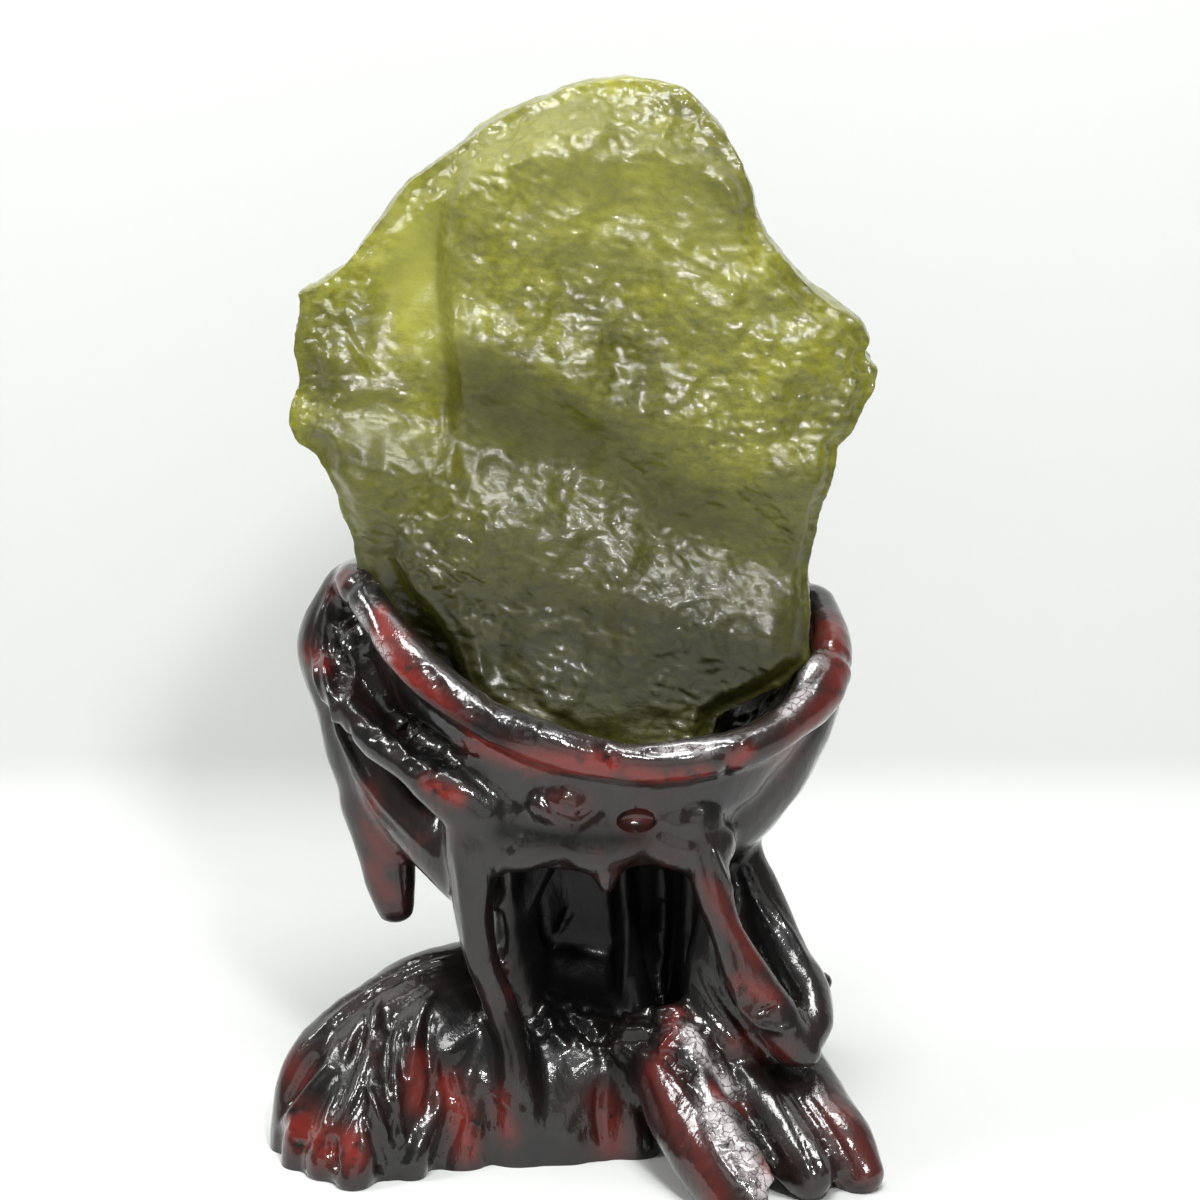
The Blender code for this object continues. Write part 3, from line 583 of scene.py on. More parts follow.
# Round limbs of the root (x, y, z, radius across the view, radius along the view)
LIMBS = {
    "shoulder": [
        (-55, 3, 132, 5, 5), (-59, 2, 125, 5, 6), (-62, 1, 117, 5, 7), (-61, 0, 110, 5, 7),
        (-57, -2, 103, 6, 7), (-54, -4, 94, 7, 7), (-51, -5, 86, 7, 7),
    ],
    "brace": [
        (-59, -9, 112, 4, 5), (-54, -15, 106, 4, 5), (-48, -20, 100, 4, 5), (-40, -26, 95, 4, 5),
        (-31, -31, 90, 6, 5), (-20, -33, 84, 7, 5),
    ],
    "left_flank": [
        (-54, -3, 98, 7, 8), (-46, -8, 88, 8, 9), (-38, -13, 79, 9, 10), (-29, -21, 72, 9, 9),
        (-24, -26, 64, 6, 7),
    ],
    "left_inner_wall": [
        (-50, 0, 110, 7, 12), (-42, -2, 98, 9, 14), (-32, -4, 86, 10, 14), (-24, -6, 76, 10, 14),
    ],
    "spur": [
        (-51, -5, 92, 7, 6), (-49, -6, 82, 8, 6), (-46.5, -7, 71, 7.5, 6), (-45, -8, 61, 6.5, 5),
        (-44, -8, 54, 5, 4),
    ],
    "right_flank": [
        (58, -2, 114, 6, 10), (54, -6, 102, 8, 12), (46, -10, 91, 9, 14), (36, -14, 80, 10, 14),
        (31, -14, 74, 8, 12),
    ],
    "apron": [
        (-24, -30, 78, 8, 6), (-14, -33, 80, 9, 5), (-3, -34, 82, 8, 5), (5, -35, 79, 8, 5),
        (15, -34, 82, 8, 5), (25, -33, 79, 9, 6), (31, -32, 77, 7, 6),
    ],
    "drip": [
        (6, -35, 80, 6, 4), (7, -35, 73, 4, 3), (7, -34, 68, 2, 2),
    ],
    "left_pillar": [
        (-23, -29, 84, 8, 8), (-24, -31, 72, 6, 7), (-24, -32, 61, 5, 6), (-22, -31, 49, 4, 5),
        (-18, -30, 37, 4, 5), (-15, -31, 28, 4, 6), (-14, -32, 18, 6, 7), (-13, -31, 6, 9, 8),
        (-13, -31, -5, 10, 9),
    ],
    "back_wall": [
        (4, 8, 96, 34, 15), (4, 8, 78, 27, 14), (4, 8, 60, 23, 12), (4, 8, 40, 24, 12),
        (3, 6, 20, 28, 18), (3, 4, -8, 31, 24),
    ],
    "cavern_ridge": [
        (11, -6, 78, 3, 5), (11, -7, 62, 2, 4), (12, -9, 46, 3, 4), (14, -12, 30, 5, 5),
    ],
    "cavern_fold": [
        (-4, -10, 78, 6, 5), (-9, -13, 66, 4, 5), (-14, -17, 54, 3, 4), (-17, -20, 44, 3, 3),
    ],
    "cavern_right": [
        (28, -3, 80, 6, 10), (27.5, -4, 64, 5, 10), (27.5, -6, 48, 5, 9), (28, -8, 33, 6, 9),
    ],
    "cavern_left": [
        (-18, -10, 80, 7, 14), (-17, -10, 62, 6, 14), (-15, -10, 46, 6, 12), (-13, -10, 30, 8, 12),
    ],
    "mound": [
        (2, 0, 30, 20, 12), (0, -4, 22, 25, 20), (-2, -8, 12, 28, 27), (-3, -9, 2, 31, 28),
        (-3, -9, -8, 31, 28),
    ],
    "web": [
        (32, -24, 66, 4, 5), (32, -27, 54, 5, 5), (33, -29, 43, 8, 5), (35, -30, 33, 11, 7),
        (37, -31, 22, 13, 9), (37, -31, 10, 13, 9),
    ],
    "front_strut": [
        (27, -33, 84, 7, 6), (30, -35, 74, 5, 5), (33, -38, 62, 4, 4), (39, -41, 49, 5, 4),
        (45, -43, 39, 6, 5), (50, -43, 32, 5, 5), (53, -43, 30, 4, 4),
    ],
    "back_strut": [
        (36, -12, 82, 7, 7), (40, -14, 69, 5, 6), (44, -18, 57, 6, 6), (49, -24, 47, 6, 6),
        (54, -30, 40, 6, 6), (55, -36, 35, 5, 5), (53, -41, 31, 4, 5),
    ],
    "dark_wall": [
        (34, -9, 78, 6, 6), (37, -13, 62, 6, 6), (40, -18, 46, 8, 7), (42, -23, 30, 10, 8),
    ],
    "fan_back": [
        (-22, -7, 40, 6, 7), (-35, -10, 38, 6, 7), (-47, -14, 33, 6, 7), (-57, -19, 26, 6, 7),
        (-65, -23, 18, 6, 6), (-68, -25, 8, 5, 6), (-69, -26, -4, 5, 6),
    ],
    "fan_second": [
        (-22, -11, 37, 5, 6), (-36, -17, 35, 5, 6), (-49, -24, 27, 6, 6), (-58, -30, 18, 5, 6),
        (-64, -34, 8, 5, 6), (-65, -36, -3, 5, 6),
    ],
    "fan_third": [
        (-22, -15, 34, 5, 6), (-36, -23, 32, 5, 6), (-47, -31, 23, 5, 6), (-55, -39, 13, 5, 6),
        (-59, -43, 2, 5, 6),
    ],
    "fan_fourth": [
        (-22, -19, 32, 5, 5), (-35, -28, 28, 5, 5), (-43, -36, 20, 5, 6), (-49, -43, 11, 5, 6),
        (-52, -49, 2, 5, 5),
    ],
    "fan_fifth": [
        (-22, -22, 30, 4, 5), (-33, -31, 24, 4, 5), (-39, -37, 15, 4, 5), (-44, -42, 7, 5, 5),
        (-45, -44, 1, 4, 4),
    ],
    "fan_front": [
        (-22, -25, 27, 4, 5), (-29, -31, 20, 4, 4), (-35, -38, 11, 4, 5), (-38, -43, 4, 4, 5),
        (-39, -44, 0, 4, 4),
    ],
    "fan_core": [
        (-20, -8, 26, 12, 10), (-36, -14, 20, 13, 11), (-49, -22, 8, 13, 12), (-52, -26, -4, 14, 12),
    ],
    "right_root": [
        (38, -18, 22, 12, 10), (48, -28, 18, 12, 10), (56, -38, 12, 10, 9), (62, -46, 7, 9, 7),
        (66, -51, 3, 6, 5),
    ],
    "right_root_inner": [
        (34, -28, 24, 8, 8), (41, -40, 17, 8, 7), (48, -50, 10, 7, 6), (54, -57, 5, 6, 5),
    ],
    "front_root": [
        (18, -28, 27, 10, 8), (22, -37, 23, 10, 8), (26, -46, 17, 10, 8), (31, -56, 11, 10, 8),
        (36, -65, 6, 9, 6), (39, -71, 3, 6, 4),
    ],
    "front_crest": [
        (22, -34, 35, 4, 4), (25, -41, 30, 4, 4), (29, -49, 23, 4, 4), (34, -58, 16, 4, 4),
        (39, -67, 9, 3, 3),
    ],
    "skirt_left": [
        (-20, -26, 24, 6, 6), (-25, -32, 12, 6, 6), (-28, -36, -2, 7, 6),
    ],
    "skirt_middle": [
        (-2, -26, 20, 8, 6), (-4, -31, 10, 9, 6), (-5, -33, -2, 10, 6),
    ],
    "skirt_right": [
        (12, -24, 22, 6, 6), (12, -27, 10, 6, 6), (13, -29, -2, 7, 6),
    ],
    "back_rib_left": [
        (-36, 18, 120, 6, 4), (-26, 19, 98, 6, 5), (-17, 18, 74, 6, 5), (-13, 17, 50, 6, 5),
        (-14, 18, 30, 8, 6),
    ],
    "back_rib_middle": [
        (6, 24, 118, 6, 4), (4, 22, 96, 7, 5), (3, 20, 74, 6, 4), (4, 18, 50, 6, 5), (5, 20, 26, 8, 6),
        (6, 25, -2, 10, 8),
    ],
    "back_rib_right": [
        (44, 16, 116, 6, 4), (34, 18, 96, 6, 5), (24, 18, 74, 6, 5), (20, 17, 50, 6, 5),
        (20, 18, 30, 8, 6),
    ],
    "back_left_root": [
        (-8, 12, 30, 12, 12), (-20, 25, 20, 12, 11), (-31, 37, 9, 10, 9), (-37, 45, 3, 6, 5),
    ],
    "back_left_toe": [
        (-16, 24, 18, 8, 8), (-21, 38, 8, 8, 7), (-22, 48, 3, 6, 5),
    ],
    "back_right_root": [
        (16, 12, 27, 11, 12), (32, 26, 18, 10, 10), (46, 35, 9, 9, 8), (54, 40, 3, 6, 5),
    ],
    "back_right_toe": [
        (26, 24, 17, 8, 8), (33, 38, 8, 7, 7), (37, 47, 3, 5, 5),
    ],
    "stub": [
        (28, 6, 38, 7, 6), (42, 10, 33, 5, 5), (54, 13, 29, 4, 4), (61, 15, 27, 3, 3),
    ],
    "stub_fork": [
        (50, 11, 30, 4, 4), (56, 12, 24, 3, 3), (58, 13, 20, 2, 2),
    ],
}
# Knobs added to the wood and hollows cut into it (x, y, z, half width, half depth, half height)
KNOBS = [(-5, -38, 88, 7, 3, 4), (-53, -4, 118, 4, 7, 6)]
HOLLOWS = [(14, -40, 85, 5, 4, 3)]
WOOD_VOXEL = 0.85
WOOD_FILLET = 1.3
WOOD_SMOOTHING = dict(factor=0.5, iterations=4)
WOOD_TRIANGLES = 196000
LIMB_SIDES = 20
STEPS_BETWEEN_STATIONS = 5
DOME_ANGLES = (35, 65, 85)
# A direction counts as lying along an axis when its share of that axis is over this
ALONG_AXIS = 0.85
print("limbs:", len(LIMBS))

# %% [markdown]
# ## How a limb and the socket are made
# A limb's stations give its middle line and its two radii. A smooth curve runs through them,
# five circles stand on it from each station to the next, and its ends are closed by domes. The
# socket is a stack of rings: they climb the outer wall up to the lip and go down again inside,
# to the floor.

# %% Root: limbs and socket


def through(stations, closed=False):
    """A smooth run of stations: Catmull-Rom between the given ones, in every column."""
    rows = [np.array(station, float) for station in stations]
    rows = rows[-1:] + rows + rows[:2] if closed else rows[:1] + rows + rows[-1:]
    run = []
    for a, b, c, d in zip(rows, rows[1:], rows[2:], rows[3:]):
        for step in range(STEPS_BETWEEN_STATIONS):
            t = step / STEPS_BETWEEN_STATIONS
            straight = 2 * b + (c - a) * t
            bent = (2 * a - 5 * b + 4 * c - d) * t ** 2 + (3 * b - a - 3 * c + d) * t ** 3
            run.append((straight + bent) / 2)
    if not closed:
        run.append(rows[-1])
    return run


def ring_matrix(centre, along, wide, deep):
    """Places a unit circle across a limb, with its Y axis as near the view's depth as it can lie."""
    reference = Vector((0, 1, 0)) if abs(along.y) < ALONG_AXIS else Vector((0, 0, 1))
    back = (reference - along * reference.dot(along)).normalized()
    across = back.cross(along)
    turned = Matrix((across * wide, back * deep, along)).transposed().to_4x4()
    return Matrix.Translation(centre) @ turned


def join_rings(shape, first, second):
    """Bridges two rings with the same number of points, each point to its own."""
    count = len(first)
    for i in range(count):
        j = (i + 1) % count
        shape.faces.new((first[i], first[j], second[j], second[i]))


def limb(shape, stations):
    """One closed tapering limb with domed ends."""
    run = through(stations)
    places = [(Vector(row[:3]) + SHIFT) * MM for row in run]
    rings = []
    for index, row in enumerate(run):
        along = places[min(index + 1, len(run) - 1)] - places[max(index - 1, 0)]
        rings.append((places[index], along.normalized(), row[3] * MM, row[4] * MM))
    for sign in (-1, 1):
        place, along, wide, deep = rings[0] if sign < 0 else rings[-1]
        for angle in DOME_ANGLES:
            out = math.sin(math.radians(angle)) * min(wide, deep)
            shrink = math.cos(math.radians(angle))
            dome = (place + along * sign * out, along, wide * shrink, deep * shrink)
            rings.insert(0 if sign < 0 else len(rings), dome)
    before = None
    for centre, along, wide, deep in rings:
        matrix = ring_matrix(centre, along, wide, deep)
        ring = bmesh.ops.create_circle(shape, segments=LIMB_SIDES, radius=1, matrix=matrix)["verts"]
        if before:
            join_rings(shape, before, ring)
        else:
            shape.faces.new(ring)
        before = ring
    shape.faces.new(before)


def on_ellipse(ring, angle):
    x = ring["x"] + ring["half_width"] * math.cos(angle)
    y = ring["y"] + ring["half_depth"] * math.sin(angle)
    return Vector((x, y, ring["z"]))


def socket(shape):
    """The bowl between the lip and the waist: an outer skin going up and an inner skin going down."""
    lip = [Vector(row[:3]) for row in through(LIP, closed=True)]
    centre = Vector((WAIST["x"], WAIST["y"], 0))
    angles = [math.atan2(point.y - centre.y, point.x - centre.x) for point in lip]
    rings = []
    for share, closing in reversed(WALL_RINGS):
        feet = [on_ellipse(WAIST, angle) for angle in angles]
        ring = [point.lerp(foot, closing) for point, foot in zip(lip, feet)]
        for place, point, foot in zip(ring, lip, feet):
            place.z = point.z + (foot.z - point.z) * share
        rings.append(ring)
    for share in FLOOR_RINGS:
        ring = []
        for point, angle in zip(lip, angles):
            foot = on_ellipse(FLOOR, angle)
            top = point + (Vector((centre.x, centre.y, point.z)) - point).normalized() * LIP_THICKNESS
            place = top.lerp(foot, share ** FLOOR_CURVE)
            place.z = top.z + (foot.z - top.z) * share
            ring.append(place)
        rings.append(ring)
    before = [shape.verts.new((point + SHIFT) * MM) for point in rings[0]]
    shape.faces.new(before)
    for ring in rings[1:]:
        following = [shape.verts.new((point + SHIFT) * MM) for point in ring]
        join_rings(shape, before, following)
        before = following
    shape.faces.new(before)


def ball(shape, x, y, z, half_width, half_depth, half_height):
    """An ellipsoid, for a knob or for cutting a hollow."""
    place = Matrix.Translation((Vector((x, y, z)) + SHIFT) * MM)
    size = Matrix.Diagonal((half_width * MM, half_depth * MM, half_height * MM, 1))
    bmesh.ops.create_icosphere(shape, subdivisions=3, radius=1, matrix=place @ size)


def carve(obj, cutter):
    """Cuts with a closed helper, and removes the helper."""
    add(obj, "BOOLEAN", object=cutter, operation="DIFFERENCE", solver="MANIFOLD")
    settle(obj)
    bpy.data.objects.remove(cutter)


# %% [markdown]
# ## Fusing the root
# Limbs, lip, socket and knobs are put into one bmesh, where they overlap, and the first remesh
# fuses them. The skin is then grown, remeshed once more and shrunk again by the same amount.
# That leaves the outer form and rounds the inner corners, as on a root that was carved and
# sanded.

# %% Root: the fused skin


def rough_root():
    shape = bmesh.new()
    socket(shape)
    limb(shape, LIP + LIP[:1])
    for stations in LIMBS.values():
        limb(shape, stations)
    for knob in KNOBS:
        ball(shape, *knob)
    bmesh.ops.recalc_face_normals(shape, faces=shape.faces)
    root = keep(shape, "root_wood_stand")
    add(root, "REMESH", mode="VOXEL", voxel_size=WOOD_VOXEL * MM)
    add(root, "DISPLACE", strength=WOOD_FILLET * MM, mid_level=0)
    add(root, "REMESH", mode="VOXEL", voxel_size=WOOD_VOXEL * MM)
    add(root, "DISPLACE", strength=-WOOD_FILLET * MM, mid_level=0)
    add(root, "SMOOTH", **WOOD_SMOOTHING)
    settle(root)
    return root


root = rough_root()
report("root points:", len(root.data.vertices))

# %% [markdown]
# ## Grain, folds and knots
# The low forms of the root are drawn as strokes on the photograph: a line of pixels is carried
# to the surface that it falls on, and the skin within a stroke's width is raised or sunk along
# its own normal. A stroke thins out at both ends. Seeded noise adds the unevenness of old wood.

# %% Root: strokes
# (width in mm, rise in mm, pixels)
SHOULDER_STROKES = [
    (1.1, 1.0, [
        (350, 566), (333, 585), (325, 615), (322, 645), (327, 685), (340, 732), (363, 778),
        (400, 825), (433, 858),
    ]),
    (0.9, 0.9, [(326, 612), (338, 635), (350, 655), (355, 675), (352, 695), (341, 708)]),
    (0.9, 0.9, [(322, 648), (326, 672), (333, 695), (341, 708)]),
    (0.8, 0.7, [(333, 702), (341, 735), (354, 772), (377, 812), (400, 838)]),
    (0.8, 0.6, [(330, 590), (320, 615), (313, 645), (316, 680), (328, 712)]),
    (2.6, -1.6, [(338, 664), (340, 680), (340, 692)]),
    (0.8, -0.6, [(345, 715), (352, 745), (370, 785), (398, 818)]),
    (2.2, -1.6, [(372, 700), (405, 722), (440, 745), (462, 758)]),
    (1.2, 0.9, [(352, 712), (383, 733), (410, 757), (437, 778)]),
]
LIP_STROKES = [
    (2.2, 0.9, [(362, 600), (378, 640), (410, 682), (450, 712), (490, 738), (540, 754)]),
    (1.6, -0.9, [(600, 742), (612, 755), (616, 772)]),
    (1.4, -0.9, [(722, 748), (728, 762), (726, 778)]),
    (2.0, 0.8, [(738, 742), (746, 748)]),
    (1.6, 0.9, [(795, 680), (808, 668), (822, 650)]),
    (1.2, -0.7, [(786, 690), (805, 682), (818, 664)]),
    (1.0, -0.8, [(810, 618), (812, 640)]),
    (1.3, -0.6, [(640, 748), (665, 752), (700, 748)]),
]
TRUNK_STROKES = [
    (2.4, 0.9, [(556, 792), (575, 800), (580, 812)]),
    (1.1, -1.1, [(548, 784), (545, 800), (556, 818), (578, 826), (598, 812), (602, 794)]),
    (2.4, -1.3, [(503, 822), (525, 832), (545, 834), (570, 837), (603, 841), (630, 832)]),
    (1.8, -1.0, [(515, 845), (500, 850)]),
    (1.8, -0.9, [(655, 827), (675, 838), (697, 843)]),
    (0.8, 0.9, [(711, 845), (722, 875), (735, 905), (752, 945), (765, 975)]),
    (1.2, 0.6, [(455, 850), (462, 900), (468, 950), (480, 1000)]),
    (1.0, 0.8, [(627, 903), (627, 947), (625, 985)]),
    (1.1, 0.8, [(573, 903), (557, 933), (530, 965)]),
    (1.2, 1.3, [(620, 1018), (640, 1016), (664, 1011)]),
    (1.2, 1.1, [(622, 1033), (642, 1031), (662, 1036)]),
    (1.6, 1.0, [(545, 1010), (555, 1035), (572, 1050)]),
    (1.6, -1.0, [(560, 1000), (580, 1030), (600, 1052)]),
    (1.0, -1.2, [(599, 1084), (597, 1110), (601, 1147)]),
    (1.4, 0.6, [(478, 1075), (500, 1100), (530, 1120)]),
    (3.0, 0.8, [(690, 1034), (705, 1052), (722, 1078)]),
    (3.4, 0.8, [(712, 1112), (735, 1142), (770, 1190)]),
    (1.4, -0.8, [(640, 1070), (652, 1100), (668, 1140)]),
]
FAN_STROKES = [
    (0.6, -0.7, [(457, 952), (420, 961), (378, 979), (343, 1002), (318, 1024)]),
    (0.6, -0.7, [(455, 961), (418, 971), (380, 990), (350, 1012), (325, 1036)]),
    (0.6, 0.6, [(456, 957), (419, 966), (379, 984), (346, 1007), (321, 1030), (303, 1044)]),
    (1.1, 1.1, [(437, 986), (423, 1008), (414, 1038), (411, 1062)]),
    (1.2, 1.3, [(380, 992), (374, 1023), (368, 1058), (358, 1088), (343, 1120), (338, 1145)]),
    (1.5, -1.6, [(368, 1008), (358, 1046), (346, 1079), (334, 1108), (328, 1128)]),
    (1.2, 1.1, [(340, 1030), (328, 1067), (308, 1090), (293, 1111), (276, 1135)]),
    (1.4, -1.3, [(322, 1050), (308, 1070), (296, 1090), (284, 1110)]),
    (1.0, 1.3, [(376, 1062), (370, 1088), (376, 1108), (384, 1138), (388, 1160)]),
    (1.3, -1.5, [(390, 1010), (386, 1045), (384, 1075), (390, 1105)]),
    (1.0, 1.2, [(394, 1090), (398, 1118), (402, 1145)]),
    (1.5, -1.7, [(384, 1178), (380, 1152), (370, 1128), (362, 1108)]),
    (1.2, -1.2, [(334, 1134), (332, 1155), (338, 1174)]),
    (1.4, -1.4, [(405, 1030), (402, 1060), (406, 1085)]),
    (1.3, -1.3, [(430, 1010), (428, 1050), (432, 1085), (425, 1120)]),
    (0.9, 0.9, [(446, 1062), (460, 1092), (467, 1120), (462, 1146)]),
    (0.8, 0.8, [(452, 1095), (455, 1118), (448, 1140)]),
    (1.8, -1.2, [(440, 1050), (448, 1080), (452, 1110)]),
]
RIGHT_STROKES = [
    (1.0, 1.2, [(684, 1019), (668, 1040), (663, 1056), (680, 1076), (695, 1090), (706, 1111)]),
    (0.9, 1.1, [(706, 1111), (724, 1104), (738, 1115), (763, 1151), (791, 1194)]),
    (0.9, 1.0, [(700, 1018), (715, 1050), (728, 1080), (733, 1098)]),
    (0.9, 0.9, [(706, 1111), (708, 1135), (722, 1162), (745, 1192)]),
    (2.2, -1.4, [(668, 1062), (682, 1068), (694, 1078)]),
    (1.2, -1.0, [(742, 1104), (760, 1130), (785, 1168)]),
    (0.6, -0.6, [(775, 1088), (798, 1135), (820, 1183)]),
    (0.6, -0.6, [(790, 1086), (815, 1125), (842, 1180)]),
    (0.6, -0.5, [(806, 1092), (835, 1135), (860, 1180)]),
    (0.6, 0.4, [(783, 1088), (806, 1130), (830, 1180)]),
    (0.7, -0.5, [(690, 978), (710, 1010), (738, 1042)]),
    (0.7, -0.5, [(700, 965), (722, 1000), (752, 1040)]),
    (2.0, -1.5, [(764, 1005), (768, 1013)]),
    (1.0, 0.8, [(736, 985), (742, 1008), (760, 1026), (785, 1030), (796, 1022)]),
    (0.8, 0.5, [(742, 852), (762, 890), (790, 930), (812, 968)]),
    (0.7, 0.7, [(738, 860), (752, 895), (775, 935)]),
]
STROKES = SHOULDER_STROKES + LIP_STROKES + TRUNK_STROKES + FAN_STROKES + RIGHT_STROKES
# Crusty places, where small bumps stand on the wood: (width in mm, depth of the bumps, pixels)
CRUSTY_STROKES = [
    (2.2, 0.5, [(410, 662), (432, 684), (462, 704), (500, 720), (545, 733)]),
    (2.4, 0.5, [(690, 738), (735, 728), (770, 704), (790, 670)]),
    (3.4, 1.1, [(690, 1026), (705, 1045), (718, 1066), (730, 1092)]),
    (3.6, 1.1, [(716, 1118), (735, 1140), (760, 1168), (780, 1195)]),
    (3.0, 0.9, [(672, 1050), (680, 1064)]),
    (7.0, 0.9, [(560, 1015), (600, 1035), (640, 1030), (665, 1030)]),
    (3.5, 0.6, [(365, 718), (400, 745), (432, 770)]),
    (3.5, 0.6, [(425, 748), (455, 762), (470, 748)]),
    (5.0, 0.4, [(300, 1130), (330, 1150)]),
]
CRUST = [(3.4, 1.0), (1.9, 0.55)]
CRUST_GAIN = 1.6
CRUST_EDGE = 4
LEAST_CRUST = 0.02
WOOD_LUMPS = [(16, 0.9), (7, 0.22)]
WOOD_PITTING = [((4.2, 4.2, 10), 0.16), ((2.0, 2.0, 4.5), 0.05)]
# Long grooves down the sides and the back
GRAIN = [((4.5, 4.5, 30), 0.55), ((2.4, 2.4, 16), 0.22)]
# The grooves are cut where the normal's y is above this: on the sides and the back
GRAIN_START = -0.2
# A stroke grows to its full height over its first sixth, from this share of it, and ends likewise
TAPER = 6
TAPER_LEAST = 0.15
# A stroke is carried every few pixels, and breaks where the surface leaps away (metres)
PIXEL_STEP = 5
LEAP = 0.012
# Points farther from a stroke than this are left out (metres)
REACH = 0.014


def carry(tree, pixels):
    """The surface points under a line of pixels, one every few pixels: the longest unbroken run."""
    line = []
    for a, b in zip(pixels, pixels[1:]):
        a, b = Vector(a), Vector(b)
        steps = max(1, round((b - a).length / PIXEL_STEP))
        line += [a.lerp(b, step / steps) for step in range(steps)]
    line.append(Vector(pixels[-1]))
    runs = [[]]
    for pixel in line:
        hit = tree.ray_cast(EYE, sight_line(pixel))[0]
        if hit is None:
            continue
        if runs[-1] and (hit - runs[-1][-1]).length > LEAP:
            runs.append([])
        runs[-1].append(hit)
    return max(runs, key=len)


def along_stroke(points, line):
    """Distance from each point to a stroke, in mm, and 0 to 1 along it. Far points are left out."""
    if len(line) < 2:
        print("a stroke falls beside the root")
        return np.zeros(0, int), np.zeros(0), np.zeros(0)
    line = np.array(line)
    low, high = line.min(0) - REACH, line.max(0) + REACH
    near = np.flatnonzero(((points > low) & (points < high)).all(1))
    distance, place = to_path(points[near], line)
    return near, distance / MM, place / (len(line) - 1)


def carve_strokes(root):
    """Raises and sinks the strokes, then adds crust, unevenness and grain."""
    tree = BVHTree.FromObject(root, bpy.context.evaluated_depsgraph_get())
    places = places_of(root)
    rise = np.zeros(len(places))
    for width, height, pixels in STROKES:
        near, distance, share = along_stroke(places, carry(tree, pixels))
        taper = np.clip(TAPER * share, TAPER_LEAST, 1) * np.clip(TAPER * (1 - share), TAPER_LEAST, 1)
        rise[near] += height * taper * np.exp(-((distance / width) ** 2))
    crust = np.zeros(len(places))
    for width, height, pixels in CRUSTY_STROKES:
        near, distance, _ = along_stroke(places, carry(tree, pixels))
        crust[near] = np.maximum(crust[near], height * np.exp(-((distance / width) ** CRUST_EDGE)))
    normals = normals_of(root)
    drawn = places / MM - np.array(SHIFT)
    rise += layered(drawn, WOOD_LUMPS, SEEDS["wood"]) + layered(drawn, WOOD_PITTING, SEEDS["pitting"])
    aside = np.flatnonzero(normals[:, 1] > GRAIN_START)
    grooves = layered(drawn[aside], GRAIN, SEEDS["grain"])
    rise[aside] += smoothstep(normals[aside, 1] - GRAIN_START) * grooves
    crusty = np.flatnonzero(crust > LEAST_CRUST)
    rise[crusty] += crust[crusty] * (layered(drawn[crusty], CRUST, SEEDS["crust"]) * CRUST_GAIN)
    move_points(root, places + normals * rise[:, None] * MM)


carve_strokes(root)
report("strokes carved:", len(STROKES) + len(CRUSTY_STROKES))

# %% [markdown]
# ## Cutting the root to fit
# The small hollow below the lip is cut out with a ball. The foot is cut flat where the stand
# rests, and the socket is cut a little larger than the slab, so that wood and glass never share
# the same space.

# %% Root: hollow, floor cut, socket cut and thinning
BELOW = 60
BETWEEN_PIECES = 0.3
SHARP_ANGLE = math.radians(70)


def cut_to_fit(root, slab):
    """Cuts the hollow, the flat foot and the place of the slab's own foot."""
    hollows = bmesh.new()
    for hollow in HOLLOWS:
        ball(hollows, *hollow)
    carve(root, keep(hollows, "hollows"))
    under = bmesh.new()
    block = Matrix.Diagonal((4 * BELOW * MM, 4 * BELOW * MM, BELOW * MM, 1))
    lowered = Matrix.Translation((0, 0, -BELOW / 2 * MM))
    bmesh.ops.create_cube(under, size=1, matrix=lowered @ block)
    carve(root, keep(under, "below_floor"))
    foot = bpy.data.objects.new("grown_slab", slab.data.copy())
    bpy.context.scene.collection.objects.link(foot)
    add(foot, "DISPLACE", strength=BETWEEN_PIECES * MM, mid_level=0)
    settle(foot)
    carve(root, foot)


cut_to_fit(root, slab)
thin_out(root, WOOD_TRIANGLES)
root.data.shade_smooth()
root.data.set_sharp_from_angle(angle=SHARP_ANGLE)
report("root triangles:", len(root.data.polygons))

# %% [markdown]
# ## Helpers for finishes
# Natural surfaces are uneven at every size, so neither finish has one flat value. Noise on the
# piece's own coordinates drives a ramp, and the ramp gives the colour or the roughness. The
# masks that are painted on the points come in through attributes.

# %% Noise, ramps and mixing
# Sockets of the mix node that take and give colours
FIRST_COLOUR, SECOND_COLOUR, MIXED_COLOUR = 6, 7, 2
BUMP_DISTANCE = 0.0006


def grey(level):
    return (level, level, level)


def noise_node(tree, where, scale, detail=4, roughness=0.55, stretch=(1, 1, 1), distortion=0.0):
    """Noise on the object's own coordinates, stretched along its axes."""
    mapping = node(tree, "ShaderNodeMapping", {"Vector": where, "Scale": stretch})
    pattern = node(tree, "ShaderNodeTexNoise", {
        "Vector": mapping.outputs["Vector"], "Scale": scale, "Detail": detail,
        "Roughness": roughness, "Distortion": distortion,
    })
    return pattern.outputs["Fac"]


def ramp(tree, value, stops):
    """A colour ramp on a value, from (place, colour) stops."""
    made = node(tree, "ShaderNodeValToRGB", {"Fac": value})
    band = made.color_ramp
    while len(band.elements) < len(stops):
        band.elements.new(0.5)
    for element, (place, colour) in zip(band.elements, stops):
        element.position = place
        element.color = (*colour, 1)
    return made.outputs["Color"]


def mix(tree, share, first, second, blend="MIX"):
    sockets = {0: share, FIRST_COLOUR: first, SECOND_COLOUR: second}
    made = node(tree, "ShaderNodeMix", data_type="RGBA", blend_type=blend)
    fill(tree, made, sockets)
    return made.outputs[MIXED_COLOUR]


def times(tree, first, second):
    return node(tree, "ShaderNodeMath", {0: first, 1: second}, operation="MULTIPLY").outputs[0]


